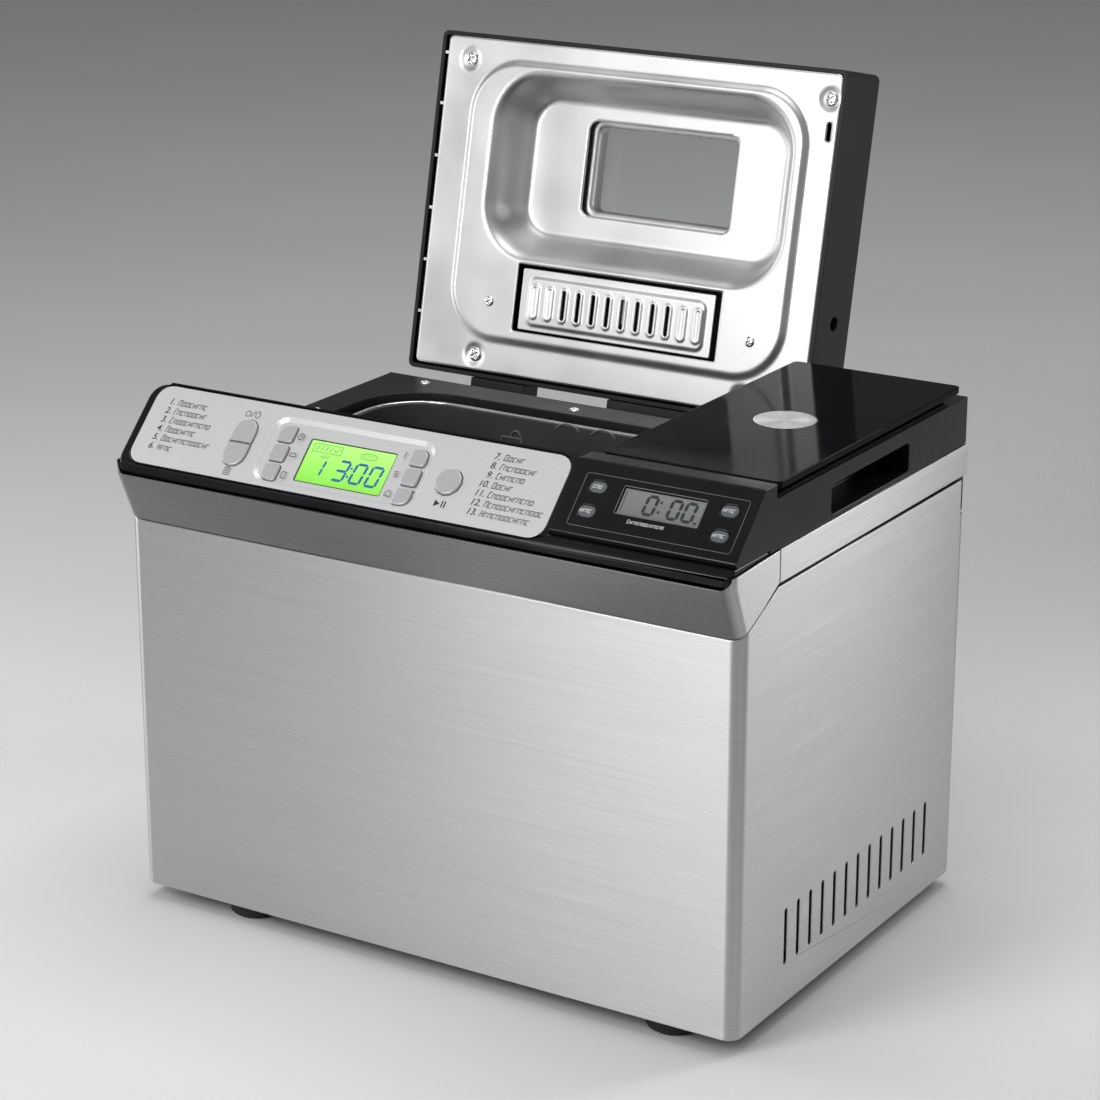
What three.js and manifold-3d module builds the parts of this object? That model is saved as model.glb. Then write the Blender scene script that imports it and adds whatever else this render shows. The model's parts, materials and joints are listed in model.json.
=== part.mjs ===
// A bread machine with a built-in kitchen scale: a folded steel case, a sloping control
// panel, a hinged lid with a viewing window, a lift-out pan and a weighing platform.
// Millimetres, +Z up, +X to the right of someone facing the controls, -Y towards them.
import * as THREE from 'three';
import { mergeVertices } from 'three/addons/utils/BufferGeometryUtils.js';
import Module from 'manifold-3d';

const wasm = await Module();
wasm.setup();

// ---------------------------------------------------------------- driving dimensions
const width = 350;
const depth = 236.8;
const deckHeight = 230;
const footHeight = 8;
const scaleWidth = 98.5;

const sheet = 1.2;
const plastic = 2.5;
const gap = 0.3;

const right = width / 2;
const left = -right;
const back = depth / 2;
const front = -back;
const divider = right - scaleWidth;
const caseCorner = 7;

// The steel wall stops here at the front, and the sloping band takes over.
const bandBottom = deckHeight - 23;
const bandLip = { y: front - 11.6, z: deckHeight + 3.5 };
const wingTop = deckHeight + 10.9;
const wingBack = front + 34.8;
const trimBottom = deckHeight - 5;
const trimGap = 1.8;
const deckThickness = 3;
const hingeZoneBottom = deckHeight - 25;

// Control slope: a plane at 45 degrees. Pieces on it use x, s (up the slope) and h (out of it).
const slopeAngle = Math.PI / 4;
const slopeOrigin = { y: front - 11.6, z: deckHeight + 6.5 };
const ridge = { y: front + 26.1, z: deckHeight + 42.8 };

// Opening in the deck that the pan goes through.
const opening = {
  x: [left + 21.5, divider - 16],
  y: [ridge.y + 8.3, back - 28.9],
  corner: 40,
};

// Lid: closed sizes. It turns on a pin line low at the back of the deck.
const lidGap = 1;
const lid = {
  x: [left, divider - lidGap],
  y: [ridge.y + lidGap + gap, back - 21.4],
  z: [deckHeight + lidGap, ridge.z],
};
const hinge = { y: back - 5.7, z: deckHeight - 13.6 };
const lidOpenAngle = THREE.MathUtils.degToRad(102.27);
const liner = {
  x: [lid.x[0] + plastic + 2.5, lid.x[1] - plastic],
  y: [lid.y[0] + plastic, lid.y[1] - plastic - 1.4],
  z: lid.z[0],
};

// Pan and oven
const chamberGap = 5;
const panGap = 5;
const panRimHeight = deckHeight - 3.5;
const panFloor = 70;
const chamberFloor = 38;
const oven = {
  x: [opening.x[0] - chamberGap, opening.x[1] + chamberGap],
  y: [opening.y[0] - chamberGap, opening.y[1] + chamberGap],
};
const centre = { x: (opening.x[0] + opening.x[1]) / 2, y: (opening.y[0] + opening.y[1]) / 2 };
const pan = {
  x: [opening.x[0] + panGap, opening.x[1] - panGap],
  y: [opening.y[0] + panGap, opening.y[1] - panGap],
  corner: opening.corner - panGap,
};
const panWall = 1.5;
const bailHeight = panRimHeight - 12;
const bailRadius = 2.2;

// Drive train, all on two vertical lines
const shaftRadius = 4;
const bigPulleyRadius = 42;
const smallPulleyRadius = 9;
const beltThickness = 2;
const beltZ = [16, 26];
const chassisZ = [30, 31.5];
const motor = { x: divider + 45, y: centre.y, half: 31, z: [45, 98] };

// Scale
const scaleTop = ridge.z;
const glassThickness = 3.4;
const scaleBodyTop = deckHeight + 35.5;
const scale = { x: [divider + gap, right - 0.8], y: [ridge.y - 0.5, back - 1.9] };
const glass = { x: [divider + 4.5, right - 1], y: [front + 34.8, back - 10.4] };
const gripHole = { y: [front + 86.4, front + 168.4], z: [deckHeight + 13.4, deckHeight + 28] };
const platformGap = 0.8;
const tray = { inset: 5, z: [scaleBodyTop + platformGap, scaleTop - glassThickness - gap] };
const loadCell = { x: glass.x[0] + 37, size: 12.7, length: 80, z: deckHeight + 16 };

// ---------------------------------------------------------------- materials
const paint = (color, roughness, metalness) =>
  new THREE.MeshStandardMaterial({ color, roughness, metalness });
const finish = {
  steel: paint('#b9bbbd', 0.35, 1),
  brightSteel: paint('#d5d6d6', 0.3, 1),
  silver: paint('#c9cacb', 0.45, 0.6),
  black: paint('#262729', 0.45, 0),
  gloss: paint('#131415', 0.12, 0),
  rubber: paint('#161616', 0.85, 0),
  nonStick: paint('#3b3b3c', 0.5, 0.4),
  green: paint('#96eb5a', 0.4, 0),
  grey: paint('#7f8582', 0.4, 0),
  clear: paint('#e8eeee', 0.05, 0),
  board: paint('#2f6b3f', 0.6, 0),
  galvanised: paint('#9a9c9c', 0.5, 0.9),
};

// ---------------------------------------------------------------- shape helpers
// Numbers spread evenly between two ends, both included.
const spread = (first, last, count) =>
  Array.from({ length: count }, (_, i) => first + ((last - first) * i) / (count - 1));

const middleOf = ([a, b]) => (a + b) / 2;
const grow = ([a, b], by) => [a - by, b + by];

// Makes a manifold solid from a closed three.js geometry.
function solidOf(geometry) {
  const bare = geometry.clone();
  bare.deleteAttribute('normal');
  bare.deleteAttribute('uv');
  const merged = mergeVertices(bare, 1e-4);
  return new wasm.Manifold(new wasm.Mesh({
    numProp: 3,
    vertProperties: new Float32Array(merged.attributes.position.array),
    triVerts: new Uint32Array(merged.index.array),
  }));
}

function geometryOf(solid) {
  const mesh = solid.getMesh();
  const geometry = new THREE.BufferGeometry();
  geometry.setAttribute('position', new THREE.BufferAttribute(new Float32Array(mesh.vertProperties), 3));
  geometry.setIndex(new THREE.BufferAttribute(new Uint32Array(mesh.triVerts), 1));
  return geometry;
}

function cut(base, ...tools) {
  return geometryOf(tools.reduce((solid, tool) => solid.subtract(solidOf(tool)), solidOf(base)));
}

// Keeps only what two solids share.
function common(base, tool) {
  return geometryOf(solidOf(base).intersect(solidOf(tool)));
}

function join(base, ...others) {
  return geometryOf(others.reduce((solid, other) => solid.add(solidOf(other)), solidOf(base)));
}

function block([x0, x1], [y0, y1], [z0, z1]) {
  const box = new THREE.BoxGeometry(x1 - x0, y1 - y0, z1 - z0);
  return box.translate((x0 + x1) / 2, (y0 + y1) / 2, (z0 + z1) / 2);
}

// The corner points of a rectangle with one radius, or four: near left, near right, far right, far left.
function ring([x0, x1], [y0, y1], radius, steps) {
  const [a, b, c, d] = Array.isArray(radius) ? radius : Array(4).fill(radius);
  const corners = [
    [x0 + a, y0 + a, a, Math.PI], [x1 - b, y0 + b, b, Math.PI * 1.5],
    [x1 - c, y1 - c, c, 0], [x0 + d, y1 - d, d, Math.PI / 2],
  ];
  return corners.flatMap(([cx, cy, r, start]) =>
    spread(start, start + Math.PI / 2, steps + 1).map((angle) =>
      [cx + r * Math.cos(angle), cy + r * Math.sin(angle)]));
}

const outlineOf = (points) => new THREE.Shape(points.map(([u, v]) => new THREE.Vector2(u, v)));
const rounded = (x, y, radius, steps = 5) => outlineOf(ring(x, y, radius, steps));

function upright(shape, [z0, z1]) {
  return new THREE.ExtrudeGeometry(shape, { depth: z1 - z0, bevelEnabled: false }).translate(0, 0, z0);
}

// An outline of [y, z] points, or a Shape in y and z, extruded along X.
function alongX(outline, [x0, x1]) {
  const shape = Array.isArray(outline) ? outlineOf(outline) : outline;
  const turn = new THREE.Matrix4().makeBasis(
    new THREE.Vector3(0, 1, 0), new THREE.Vector3(0, 0, 1), new THREE.Vector3(1, 0, 0));
  return new THREE.ExtrudeGeometry(shape, { depth: x1 - x0, bevelEnabled: false })
    .applyMatrix4(turn).translate(x0, 0, 0);
}

// An outline in x and z, extruded along Y.
function alongY(shape, [y0, y1]) {
  return new THREE.ExtrudeGeometry(shape, { depth: y1 - y0, bevelEnabled: false })
    .rotateX(Math.PI / 2).translate(0, y1, 0);
}

// A round bar along X, Y or Z.
function bar(axis, radius, [a0, a1], [u, v], segments = 20) {
  const round = new THREE.CylinderGeometry(radius, radius, a1 - a0, segments);
  const middle = (a0 + a1) / 2;
  if (axis === 'x') return round.rotateZ(-Math.PI / 2).translate(middle, u, v);
  if (axis === 'y') return round.translate(u, middle, v);
  return round.rotateX(Math.PI / 2).translate(u, v, middle);
}

// A solid turned about a vertical line, from [radius, z] points going up the outside.
function turned(profile, [x, y], segments = 28) {
  const points = profile.map(([r, z]) => new THREE.Vector2(r, z));
  return new THREE.LatheGeometry(points, segments).rotateX(Math.PI / 2).translate(x, y, 0);
}

// Joins rounded rectangles, one above the other, into a closed skin with flat ends.
function loft(sections, cornerSteps = 5) {
  const rings = sections.map(({ x, y, corner, z }) =>
    ring(x, y, corner, cornerSteps).map(([px, py]) => [px, py, z]));
  const count = rings[0].length;
  const positions = rings.flat(2);
  const indices = [];
  for (let k = 0; k + 1 < rings.length; k += 1) {
    for (let i = 0; i < count; i += 1) {
      const a = k * count + i;
      const b = k * count + (i + 1) % count;
      indices.push(a, b, b + count, a, b + count, a + count);
    }
  }
  const last = (rings.length - 1) * count;
  for (let i = 1; i + 1 < count; i += 1) {
    indices.push(0, i + 1, i);
    indices.push(last, last + i, last + i + 1);
  }
  const geometry = new THREE.BufferGeometry();
  geometry.setAttribute('position', new THREE.Float32BufferAttribute(positions, 3));
  geometry.setIndex(indices);
  return geometry;
}

// A section for loft(): a rectangle grown by a margin, with its corners grown too.
function section({ x, y, corner }, margin, z) {
  return {
    x: [x[0] - margin, x[1] + margin],
    y: [y[0] - margin, y[1] + margin],
    corner: Math.max(corner + margin, 0.5),
    z,
  };
}

// A round wire through [x, y, z] points.
function tube(points, radius, steps, sides = 8) {
  const path = new THREE.CatmullRomCurve3(points.map((p) => new THREE.Vector3(...p)), false, 'centripetal');
  const circle = spread(0, Math.PI * 2, sides + 1).slice(0, sides);
  const wire = outlineOf(circle.map((angle) => [Math.cos(angle) * radius, Math.sin(angle) * radius]));
  return new THREE.ExtrudeGeometry(wire, { steps, extrudePath: path, bevelEnabled: false });
}

// ---------------------------------------------------------------- scene graph
const machine = new THREE.Group();
const slope = new THREE.Group();
slope.position.set(0, slopeOrigin.y, slopeOrigin.z);
slope.rotation.x = slopeAngle;
slope.updateMatrix();
const lidGroup = new THREE.Group();
lidGroup.position.set(0, hinge.y, hinge.z);
lidGroup.rotation.x = -lidOpenAngle;
machine.add(slope, lidGroup);

function add(name, geometry, material, parent = machine) {
  const mesh = new THREE.Mesh(geometry, material);
  mesh.name = name;
  parent.add(mesh);
  return mesh;
}

const onSlope = (geometry) => geometry.clone().applyMatrix4(slope.matrix);
const addToLid = (name, geometry, material) =>
  add(name, geometry.translate(0, -hinge.y, -hinge.z), material, lidGroup);

// ---------------------------------------------------------------- base, feet and case
const basePan = {
  x: [left + sheet + gap, right - sheet - gap],
  y: [front + sheet + gap, back - plastic - 2 * gap],
  z: [footHeight, footHeight + 18],
};
const footInset = { left: 60, right: 42, y: 18 };
const footStud = 4;
const footSpots = [
  ['front_left', left + footInset.left, front + footInset.y],
  ['front_right', right - footInset.right, front + footInset.y],
  ['back_left', left + footInset.left, back - footInset.y],
  ['back_right', right - footInset.right, back - footInset.y],
];

function makeBase() {
  const { x, y, z } = basePan;
  const outer = upright(rounded(x, y, caseCorner - sheet), z);
  const hollow = upright(rounded(grow(x, -plastic), grow(y, -plastic), caseCorner - sheet - plastic), [
    z[0] + plastic + 0.5, z[1] + 1]);
  const holes = footSpots.map(([, fx, fy]) => bar('z', footStud + gap, [0, z[1]], [fx, fy], 16));
  add('base_pan', cut(outer, hollow, ...holes), finish.black);
}

function makeFeet() {
  const top = footHeight - gap;
  for (const [place, x, y] of footSpots) {
    const profile = [[0, 0], [13, 0], [14, 1], [15.5, top], [footStud, top], [footStud, top + 6],
      [0, top + 6]];
    add(`foot_${place}`, turned(profile, [x, y], 20), finish.rubber);
  }
}

// Points along the joint between the side walls and the sloping band, low end first.
const seam = [
  [front, bandBottom],
  [front + 4.4, bandBottom + 2.4],
  [front + 19.4, bandBottom + 9.5],
];
const seamEnd = [wingBack, trimBottom];
const leftWingBack = ridge.y - sheet;

const sideVents = { y: [front + 49.4, front + 201.4], z: [footHeight + 20.6, footHeight + 50], count: 13 };

function makeWrap() {
  const outer = rounded([left, right], [front, back], caseCorner);
  const inner = rounded(grow([left, right], -sheet), grow([front, back], -sheet), caseCorner - sheet);
  outer.holes.push(inner);
  const shell = upright(outer, [footHeight, deckHeight - deckThickness - gap]);
  const lowered = seam.map(([y, z]) => [y, z - gap]);
  const sky = deckHeight + 50;
  const outside = bandLip.y - 10;
  const start = [outside, bandBottom - gap];
  const overRight = [start, ...lowered, [seamEnd[0], seamEnd[1] - trimGap], [back + 5, trimBottom - trimGap],
    [back + 5, sky], [outside, sky]];
  const overLeft = [start, ...lowered, [leftWingBack + gap, bandBottom + 12.2],
    [leftWingBack + gap, sky], [outside, sky]];
  const backHole = block([left + 15, right - 15], [back - 5, back + 5], [0, sky]);
  const hingeHole = block([left - 5, right + 5], [back - caseCorner, back + 5], [hingeZoneBottom, sky]);
  const slots = spread(...sideVents.y, sideVents.count).map((y) =>
    alongX(rounded(grow([y, y], 1.5), sideVents.z, 1.45, 3), [right - 5, right + 5]));
  add('outer_wrap', cut(shell, alongX(overRight, [-10, right + 5]), alongX(overLeft, [left - 5, 0]),
    backHole, hingeHole, ...slots), finish.steel);
}

// The sloping band is one folded sheet: a front strip, two round corners and a wing on each side.
const bandCorner = 6.7;
const wingNose = deckHeight + 9.2;

function makeBand() {
  const [lipY, lipZ] = [bandLip.y, bandLip.z];
  const lean = (front - lipY) / (lipZ - bandBottom - gap);
  const level = (y, z, inset) => {
    const near = bandCorner - inset;
    return {
      x: grow([left, right], -inset), y: [y + inset, ridge.y + 30], corner: [near, near, 0.5, 0.5], z,
    };
  };
  const sky = wingTop + 20;
  const outer = loft([level(front, bandBottom + gap, 0), level(lipY, lipZ, 0), level(lipY, sky, 0)], 6);
  const hollow = loft([level(front + lean, bandBottom + gap - 1, sheet), level(lipY, lipZ, sheet),
    level(lipY, sky + 1, sheet)], 6);
  const rise = seam.map(([y, z]) => [y, z + gap]);
  const side = (end) => [[lipY - 10, bandBottom + gap], ...rise, end, [end[0], wingTop], [lipY + 3, wingNose],
    [lipY - 10, wingNose]];
  const kept = join(alongX(side([wingBack, trimBottom + gap]), [-1, right + 5]),
    alongX(side([leftWingBack, bandBottom + 12.2 + gap]), [left - 5, 0]));
  const mouth = alongY(rounded(grow([left, right], -sheet), [lipZ, sky + 10], bandCorner - sheet), [
    lipY - 10, ridge.y]);
  add('front_band', cut(common(cut(outer, hollow), kept), mouth), finish.steel);
}

function makeSideTrim() {
  const outline = rounded([wingBack + 0.6, back - 1], [trimBottom, wingTop + 0.1], 0.6, 2);
  add('side_trim', alongX(outline, [right - sheet, right]), finish.steel);
}

const inlet = { x: right - 40, z: footHeight + 34, radius: 7 };

function makeBack() {
  const x = [left + 15 + gap, right - 15 - gap];
  const panel = block(x, [back - plastic, back], [footHeight + gap, hingeZoneBottom - gap]);
  const slots = spread(left + 60, left + 144, 8).map((sx) =>
    block([sx - 2, sx + 2], [back - 5, back + 5], [footHeight + 30, footHeight + 75]));
  const hole = bar('y', inlet.radius + gap, [back - 5, back + 5], [inlet.x, inlet.z]);
  add('back_panel', cut(panel, hole, ...slots), finish.black);
}

// The bush that the mains lead would pass through.
function makeInlet() {
  const bore = 4;
  const flange = inlet.radius + 3;
  const shoulder = plastic + 2 * gap + 3;
  const profile = [
    [bore, 0], [inlet.radius, 0], [inlet.radius, shoulder], [flange, shoulder],
    [flange, shoulder + 1.6], [inlet.radius, shoulder + 3], [bore, shoulder + 3], [bore, 0],
  ].map(([r, h]) => new THREE.Vector2(r, h));
  const bush = new THREE.LatheGeometry(profile, 20).translate(inlet.x, back - plastic - gap - 3, inlet.z);
  add('cord_inlet', bush, finish.rubber);
}

// ---------------------------------------------------------------- control housing
const housingX = [left + sheet + gap, right - sheet - gap];
const noseBottom = bandLip.z + gap + 0.2;
const slopeWall = 5;
const root2 = Math.SQRT2;

// The [y, z] point at distance s up the slope and h out of it.
const slopePoint = (s, h) =>
  [slopeOrigin.y + (s - h) / root2, slopeOrigin.z + (s + h) / root2];

// The [y, z] point at a given y and at height h out of the slope.
const slopeAt = (y, h) => [y, slopeOrigin.z + (y - slopeOrigin.y) + h * root2];

const plateArea = { x: [left + 6.2, divider - 3.1], s: [5, 49.5], corner: 8, thickness: 2.6 };
const plateSink = 0.2;
const slopeTop = (ridge.y - 3 - slopeOrigin.y) * root2;

function makeControlHousing() {
  const low = slopePoint(3.4, -plateSink);
  const [y0] = low;
  const noseFront = y0 - 1;
  const high = slopePoint(slopeTop, -plateSink);
  const backWall = ridge.y;
  const outer = [[noseFront, noseBottom], low, high, [backWall - 1.2, ridge.z], [backWall, ridge.z - 0.8],
    [backWall, noseBottom]];
  const inLow = slopePoint(3.4 + 3, -slopeWall - plateSink);
  const inHigh = slopeAt(backWall - plastic, -slopeWall - plateSink);
  const hollow = [[y0 + 1.5, noseBottom - 5], [y0 + 1.5, inLow[1]], inLow, inHigh,
    [backWall - plastic, noseBottom - 5]];
  const body = alongX(outer, [housingX[0], divider - gap]);
  const leg = block([housingX[0], divider - gap], [backWall - plastic, backWall],
    [deckHeight + gap, noseBottom + 1]);
  const lowTop = slopePoint(8.3, -plateSink);
  const ledge = [[noseFront, noseBottom], low, lowTop, [backWall, lowTop[1]], [backWall, noseBottom]];
  const rightPart = alongX(ledge, [divider - gap - 1, housingX[1]]);
  const rightHollow = block([divider + plastic, housingX[1] - plastic], [y0 + 1.5, backWall + 1],
    [noseBottom - 5, lowTop[1] - plastic]);
  const pocket = upright(rounded(grow(plateArea.x, gap), grow(plateArea.s, gap), plateArea.corner + gap),
    [-plateArea.thickness - gap, 5]);
  const window = upright(rounded(grow(plateArea.x, -3), grow(plateArea.s, -3), 4), [-slopeWall - 1, 5]);
  const noseCorner = bandCorner - sheet - gap;
  const plan = upright(rounded(housingX, [noseFront, backWall], [noseCorner, noseCorner, 0.2, 0.2]), [
    deckHeight, ridge.z + 5]);
  const crownRadius = 9;
  const crown = [housingX[0] + crownRadius, slopeTop + 1.2 - crownRadius];
  const quarter = spread(Math.PI, Math.PI / 2, 8).map((angle) =>
    [crown[0] + crownRadius * Math.cos(angle), crown[1] + crownRadius * Math.sin(angle)]);
  const crownCut = upright(outlineOf([...quarter, [crown[0], crown[1] + 30], [crown[0] - 20, crown[1] + 30],
    [crown[0] - 20, crown[1]]]), [-60, 10]);
  add('control_housing', cut(common(join(body, leg, rightPart), plan), onSlope(crownCut),
    alongX(hollow, [housingX[0] + plastic, divider - gap - plastic]), rightHollow,
    onSlope(pocket), onSlope(window)), finish.black);
}

// Buttons and display on the slope. The middle group sits in a shallow dish.
const dish = { x: [left + 80.7, left + 175.7], y: [7.4, 44], corner: 8, sink: 1.2, bevel: 2.2 };
const display = { x: [dish.x[0] + 23.7, dish.x[0] + 74.1], s: [11.7, 35.6] };
const keySize = 9;
const keyRows = [35, 24.2, 13.4];
const pill = { x: dish.x[0] - 13.9, half: 6.6, s: [12.3, 25.6, 38.8] };
const startKey = { x: dish.x[1] + 13.5, s: 25.2, radius: 7 };
const keyClearance = 0.35;
const big = 4.3;
const small = 1.6;

// The outline of one key on the plate, grown by a margin.
function keyOutline(key, margin) {
  return rounded(grow(key.x, margin), grow(key.s, margin), key.corner.map((r) => r + margin), 3);
}

function squareKey(name, x, row, corner) {
  const half = keySize / 2;
  return { name, x: [x - half, x + half], s: [keyRows[row] - half, keyRows[row] + half], corner, top: 0.1 };
}

const keyColumns = [
  ['left', dish.x[0] + 9.7,
    [[small, small, small, big], [small, small, small, small], [big, small, small, small]]],
  ['right', dish.x[1] - 8,
    [[small, small, big, small], [small, small, small, small], [small, big, small, small]]],
];
const rowNames = ['top', 'middle', 'bottom'];
const keys = [
  ...keyColumns.flatMap(([side, x, corners]) =>
    corners.map((corner, row) => squareKey(`${side}_key_${rowNames[row]}`, x, row, corner))),
  {
    name: 'select_key_down', x: grow([pill.x, pill.x], pill.half), s: [pill.s[0], pill.s[1] - gap],
    corner: [pill.half - 0.1, pill.half - 0.1, 0.4, 0.4], top: 1.1,
  },
  {
    name: 'select_key_up', x: grow([pill.x, pill.x], pill.half), s: [pill.s[1] + gap, pill.s[2]],
    corner: [0.4, 0.4, pill.half - 0.1, pill.half - 0.1], top: 1.1,
  },
  {
    name: 'start_key', x: grow([startKey.x, startKey.x], startKey.radius),
    s: grow([startKey.s, startKey.s], startKey.radius),
    corner: Array(4).fill(startKey.radius - 0.1), top: 1.3,
  },
];
const keyBottom = -5.4;

function makeKeyCap(key) {
  const edge = 0.5;
  const level = (margin, z) => ({
    x: grow(key.x, margin), y: grow(key.s, margin),
    corner: key.corner.map((r) => Math.max(r + margin, 0.1)), z,
  });
  const cap = loft([level(0, keyBottom), level(0, key.top - edge), level(-edge, key.top)], 3);
  add(key.name, cap, key.finish ?? finish.silver, slope);
}

function makeControlPlate() {
  const plate = upright(rounded(plateArea.x, plateArea.s, plateArea.corner), [-plateArea.thickness, 0]);
  const dishCut = loft([
    section(dish, -dish.bevel, -dish.sink), section(dish, 0, 0), section(dish, 0, 1)]);
  const keyHoles = keys.map((key) => upright(keyOutline(key, keyClearance), [-9, 5]));
  const displayHole = upright(rounded(display.x, display.s, 0.8, 2), [-9, 5]);
  add('control_plate', cut(plate, dishCut, displayHole, ...keyHoles), finish.silver, slope);
}

function makeDisplay() {
  const under = -plateArea.thickness - gap;
  const bodyBox = block(grow(display.x, 2), grow(display.s, 1.6), [under - 3.4, under]);
  const face = block(grow(display.x, -gap), grow(display.s, -gap), [under - 1, under + 1.1]);
  add('control_display', join(bodyBox, face), finish.green, slope);
}

function makeControlBoard() {
  const boardZ = [-10.4, -8.8];
  const board = block([dish.x[0] - 26, dish.x[1] + 26], [7, keyRows[0] + 3.6], boardZ);
  const switches = keys.map((key) => {
    const [x, s] = [middleOf(key.x), middleOf(key.s)];
    return block([x - 2.5, x + 2.5], [s - 2.5, s + 2.5], [boardZ[0] + 0.5, keyBottom - 1.3]);
  });
  add('control_board', join(board, ...switches), finish.board, slope);
}

// ---------------------------------------------------------------- deck
// Lid arms reach through these stretches of the deck's back edge.
const arms = [
  { name: 'left', x: [left + 42, left + 77] },
  { name: 'right', x: [left + 130, left + 177] },
];
const deckBack = back - 7.9;
const lugWidth = 10;
const pinRadius = 2.5;
const bossRadius = 5;

function makeDeck() {
  const top = deckHeight;
  const under = top - deckThickness;
  const x = [left, divider - gap];
  const chamfer = 2.4;
  const edge = [[x[0], under], [x[1], under], [x[1], top], [x[0] + chamfer, top], [x[0], top - chamfer]];
  const backCorner = 7;
  const plan = upright(rounded([x[0], x[1]], [ridge.y, deckBack], [0.1, 0.1, 0.1, backCorner]), [
    under - 1, top + 1]);
  const sheetBody = common(alongY(outlineOf(edge), [ridge.y, deckBack]), plan);
  const shelf = block([housingX[0], x[1]], [ridge.y - 20, ridge.y + 1], [under, top]);
  const slant = [[deckBack - 1, under], [deckBack - 1, top], [deckBack, top], [back - 1, top - 8],
    [back - 1, hingeZoneBottom + 1], [back - 1 - plastic, hingeZoneBottom + 1],
    [back - 1 - plastic, top - 8], [deckBack + 0.5, under]];
  const ends = [housingX[0], ...arms.flatMap((arm) => grow(arm.x, 1)), x[1]];
  const aprons = [0, 2, 4].map((i) => alongX(slant, [ends[i], ends[i + 1]]));
  const lugs = arms.flatMap((arm) => [
    [arm.x[0] - 1 - lugWidth, arm.x[0] - 1], [arm.x[1] + 1, arm.x[1] + 1 + lugWidth],
  ]).map((span) => alongX([[hinge.y - 5.5, hinge.z - 6], [back - 1.5, hinge.z - 6], [back - 1.5, top - 7.6],
    [deckBack, under + 0.5], [hinge.y - 5.5, under + 0.5]], span));
  const collar = section(opening, 2, 0);
  const collarBody = upright(rounded(collar.x, collar.y, collar.corner, 7), [under - 6, under + 1]);
  const hole = upright(rounded(opening.x, opening.y, opening.corner, 7), [under - 10, top + 5]);
  const pinHoles = arms.map((arm) =>
    bar('x', pinRadius + gap, grow(arm.x, 1 + lugWidth - 2), [hinge.y, hinge.z], 16));
  const body = join(sheetBody, shelf, ...aprons, ...lugs, collarBody);
  add('top_deck', cut(body, hole, ...pinHoles), finish.black);
}

function makeHingePins() {
  for (const arm of arms) {
    const reach = grow(arm.x, 1 + lugWidth - 2 - gap);
    add(`hinge_pin_${arm.name}`, bar('x', pinRadius, reach, [hinge.y, hinge.z], 16), finish.brightSteel);
  }
}

// ---------------------------------------------------------------- lid
const linerStep = 2.5;
const plateau = {
  x: [opening.x[0] + 1.5, opening.x[1] - 1.5],
  y: [opening.y[0] + 5, opening.y[1] - 12.9],
  corner: 28,
};
const recess = {
  x: [plateau.x[0] + 19.2, plateau.x[1] - 10.3],
  y: [plateau.y[0] + 7.6, plateau.y[1] - 50],
  corner: 28,
  depth: 24,
  inset: 10,
};
const lidWindow = {
  x: [recess.x[0] + 45.9, recess.x[1] - 42.5],
  y: [recess.y[0] + 21, recess.y[1] - 25.5],
  corner: 5,
};
const flapHole = {
  x: [plateau.x[0] + 44, plateau.x[1] - 39.6],
  y: [plateau.y[1] - 45.5, plateau.y[1] - 8.5],
};
const flapPin = { y: flapHole.y[1] - 3.9, z: liner.z - linerStep + 2.7, radius: 1.4 };

function makeLidShell() {
  const outline = { x: lid.x, y: lid.y, corner: 3.5 };
  const [z0, z1] = lid.z;
  const outer = loft([section(outline, 0, z0), section(outline, 0, z1 - 4), section(outline, -1.2, z1 - 1.2),
    section(outline, -4, z1)]);
  const hollow = loft([section(outline, -plastic, z0 - 1), section(outline, -plastic, z1 - 5),
    section(outline, -plastic - 1.5, z1 - plastic - 1)]);
  const windowHole = upright(rounded(lidWindow.x, lidWindow.y, lidWindow.corner, 4), [z0, z1 + 5]);
  const glassSeat = upright(rounded(grow(lidWindow.x, 8), grow(lidWindow.y, 8), 6, 4), [z1 - 2.2, z1 + 5]);
  const vents = spread(flapHole.x[0] + 20, flapHole.x[1] - 20, 8).map((x) =>
    upright(rounded([x - 1.5, x + 1.5], grow([middleOf(flapHole.y), middleOf(flapHole.y)], 10), 1.4, 2),
      [z1 - 8, z1 + 5]));
  const sidePort = bar('x', 4, [lid.x[1] - 4, lid.x[1] + 4], [liner.y[1] - 52.5, z0 + 20], 16);
  addToLid('lid_shell', cut(outer, hollow, windowHole, glassSeat, ...vents, sidePort), finish.black);
}

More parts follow.
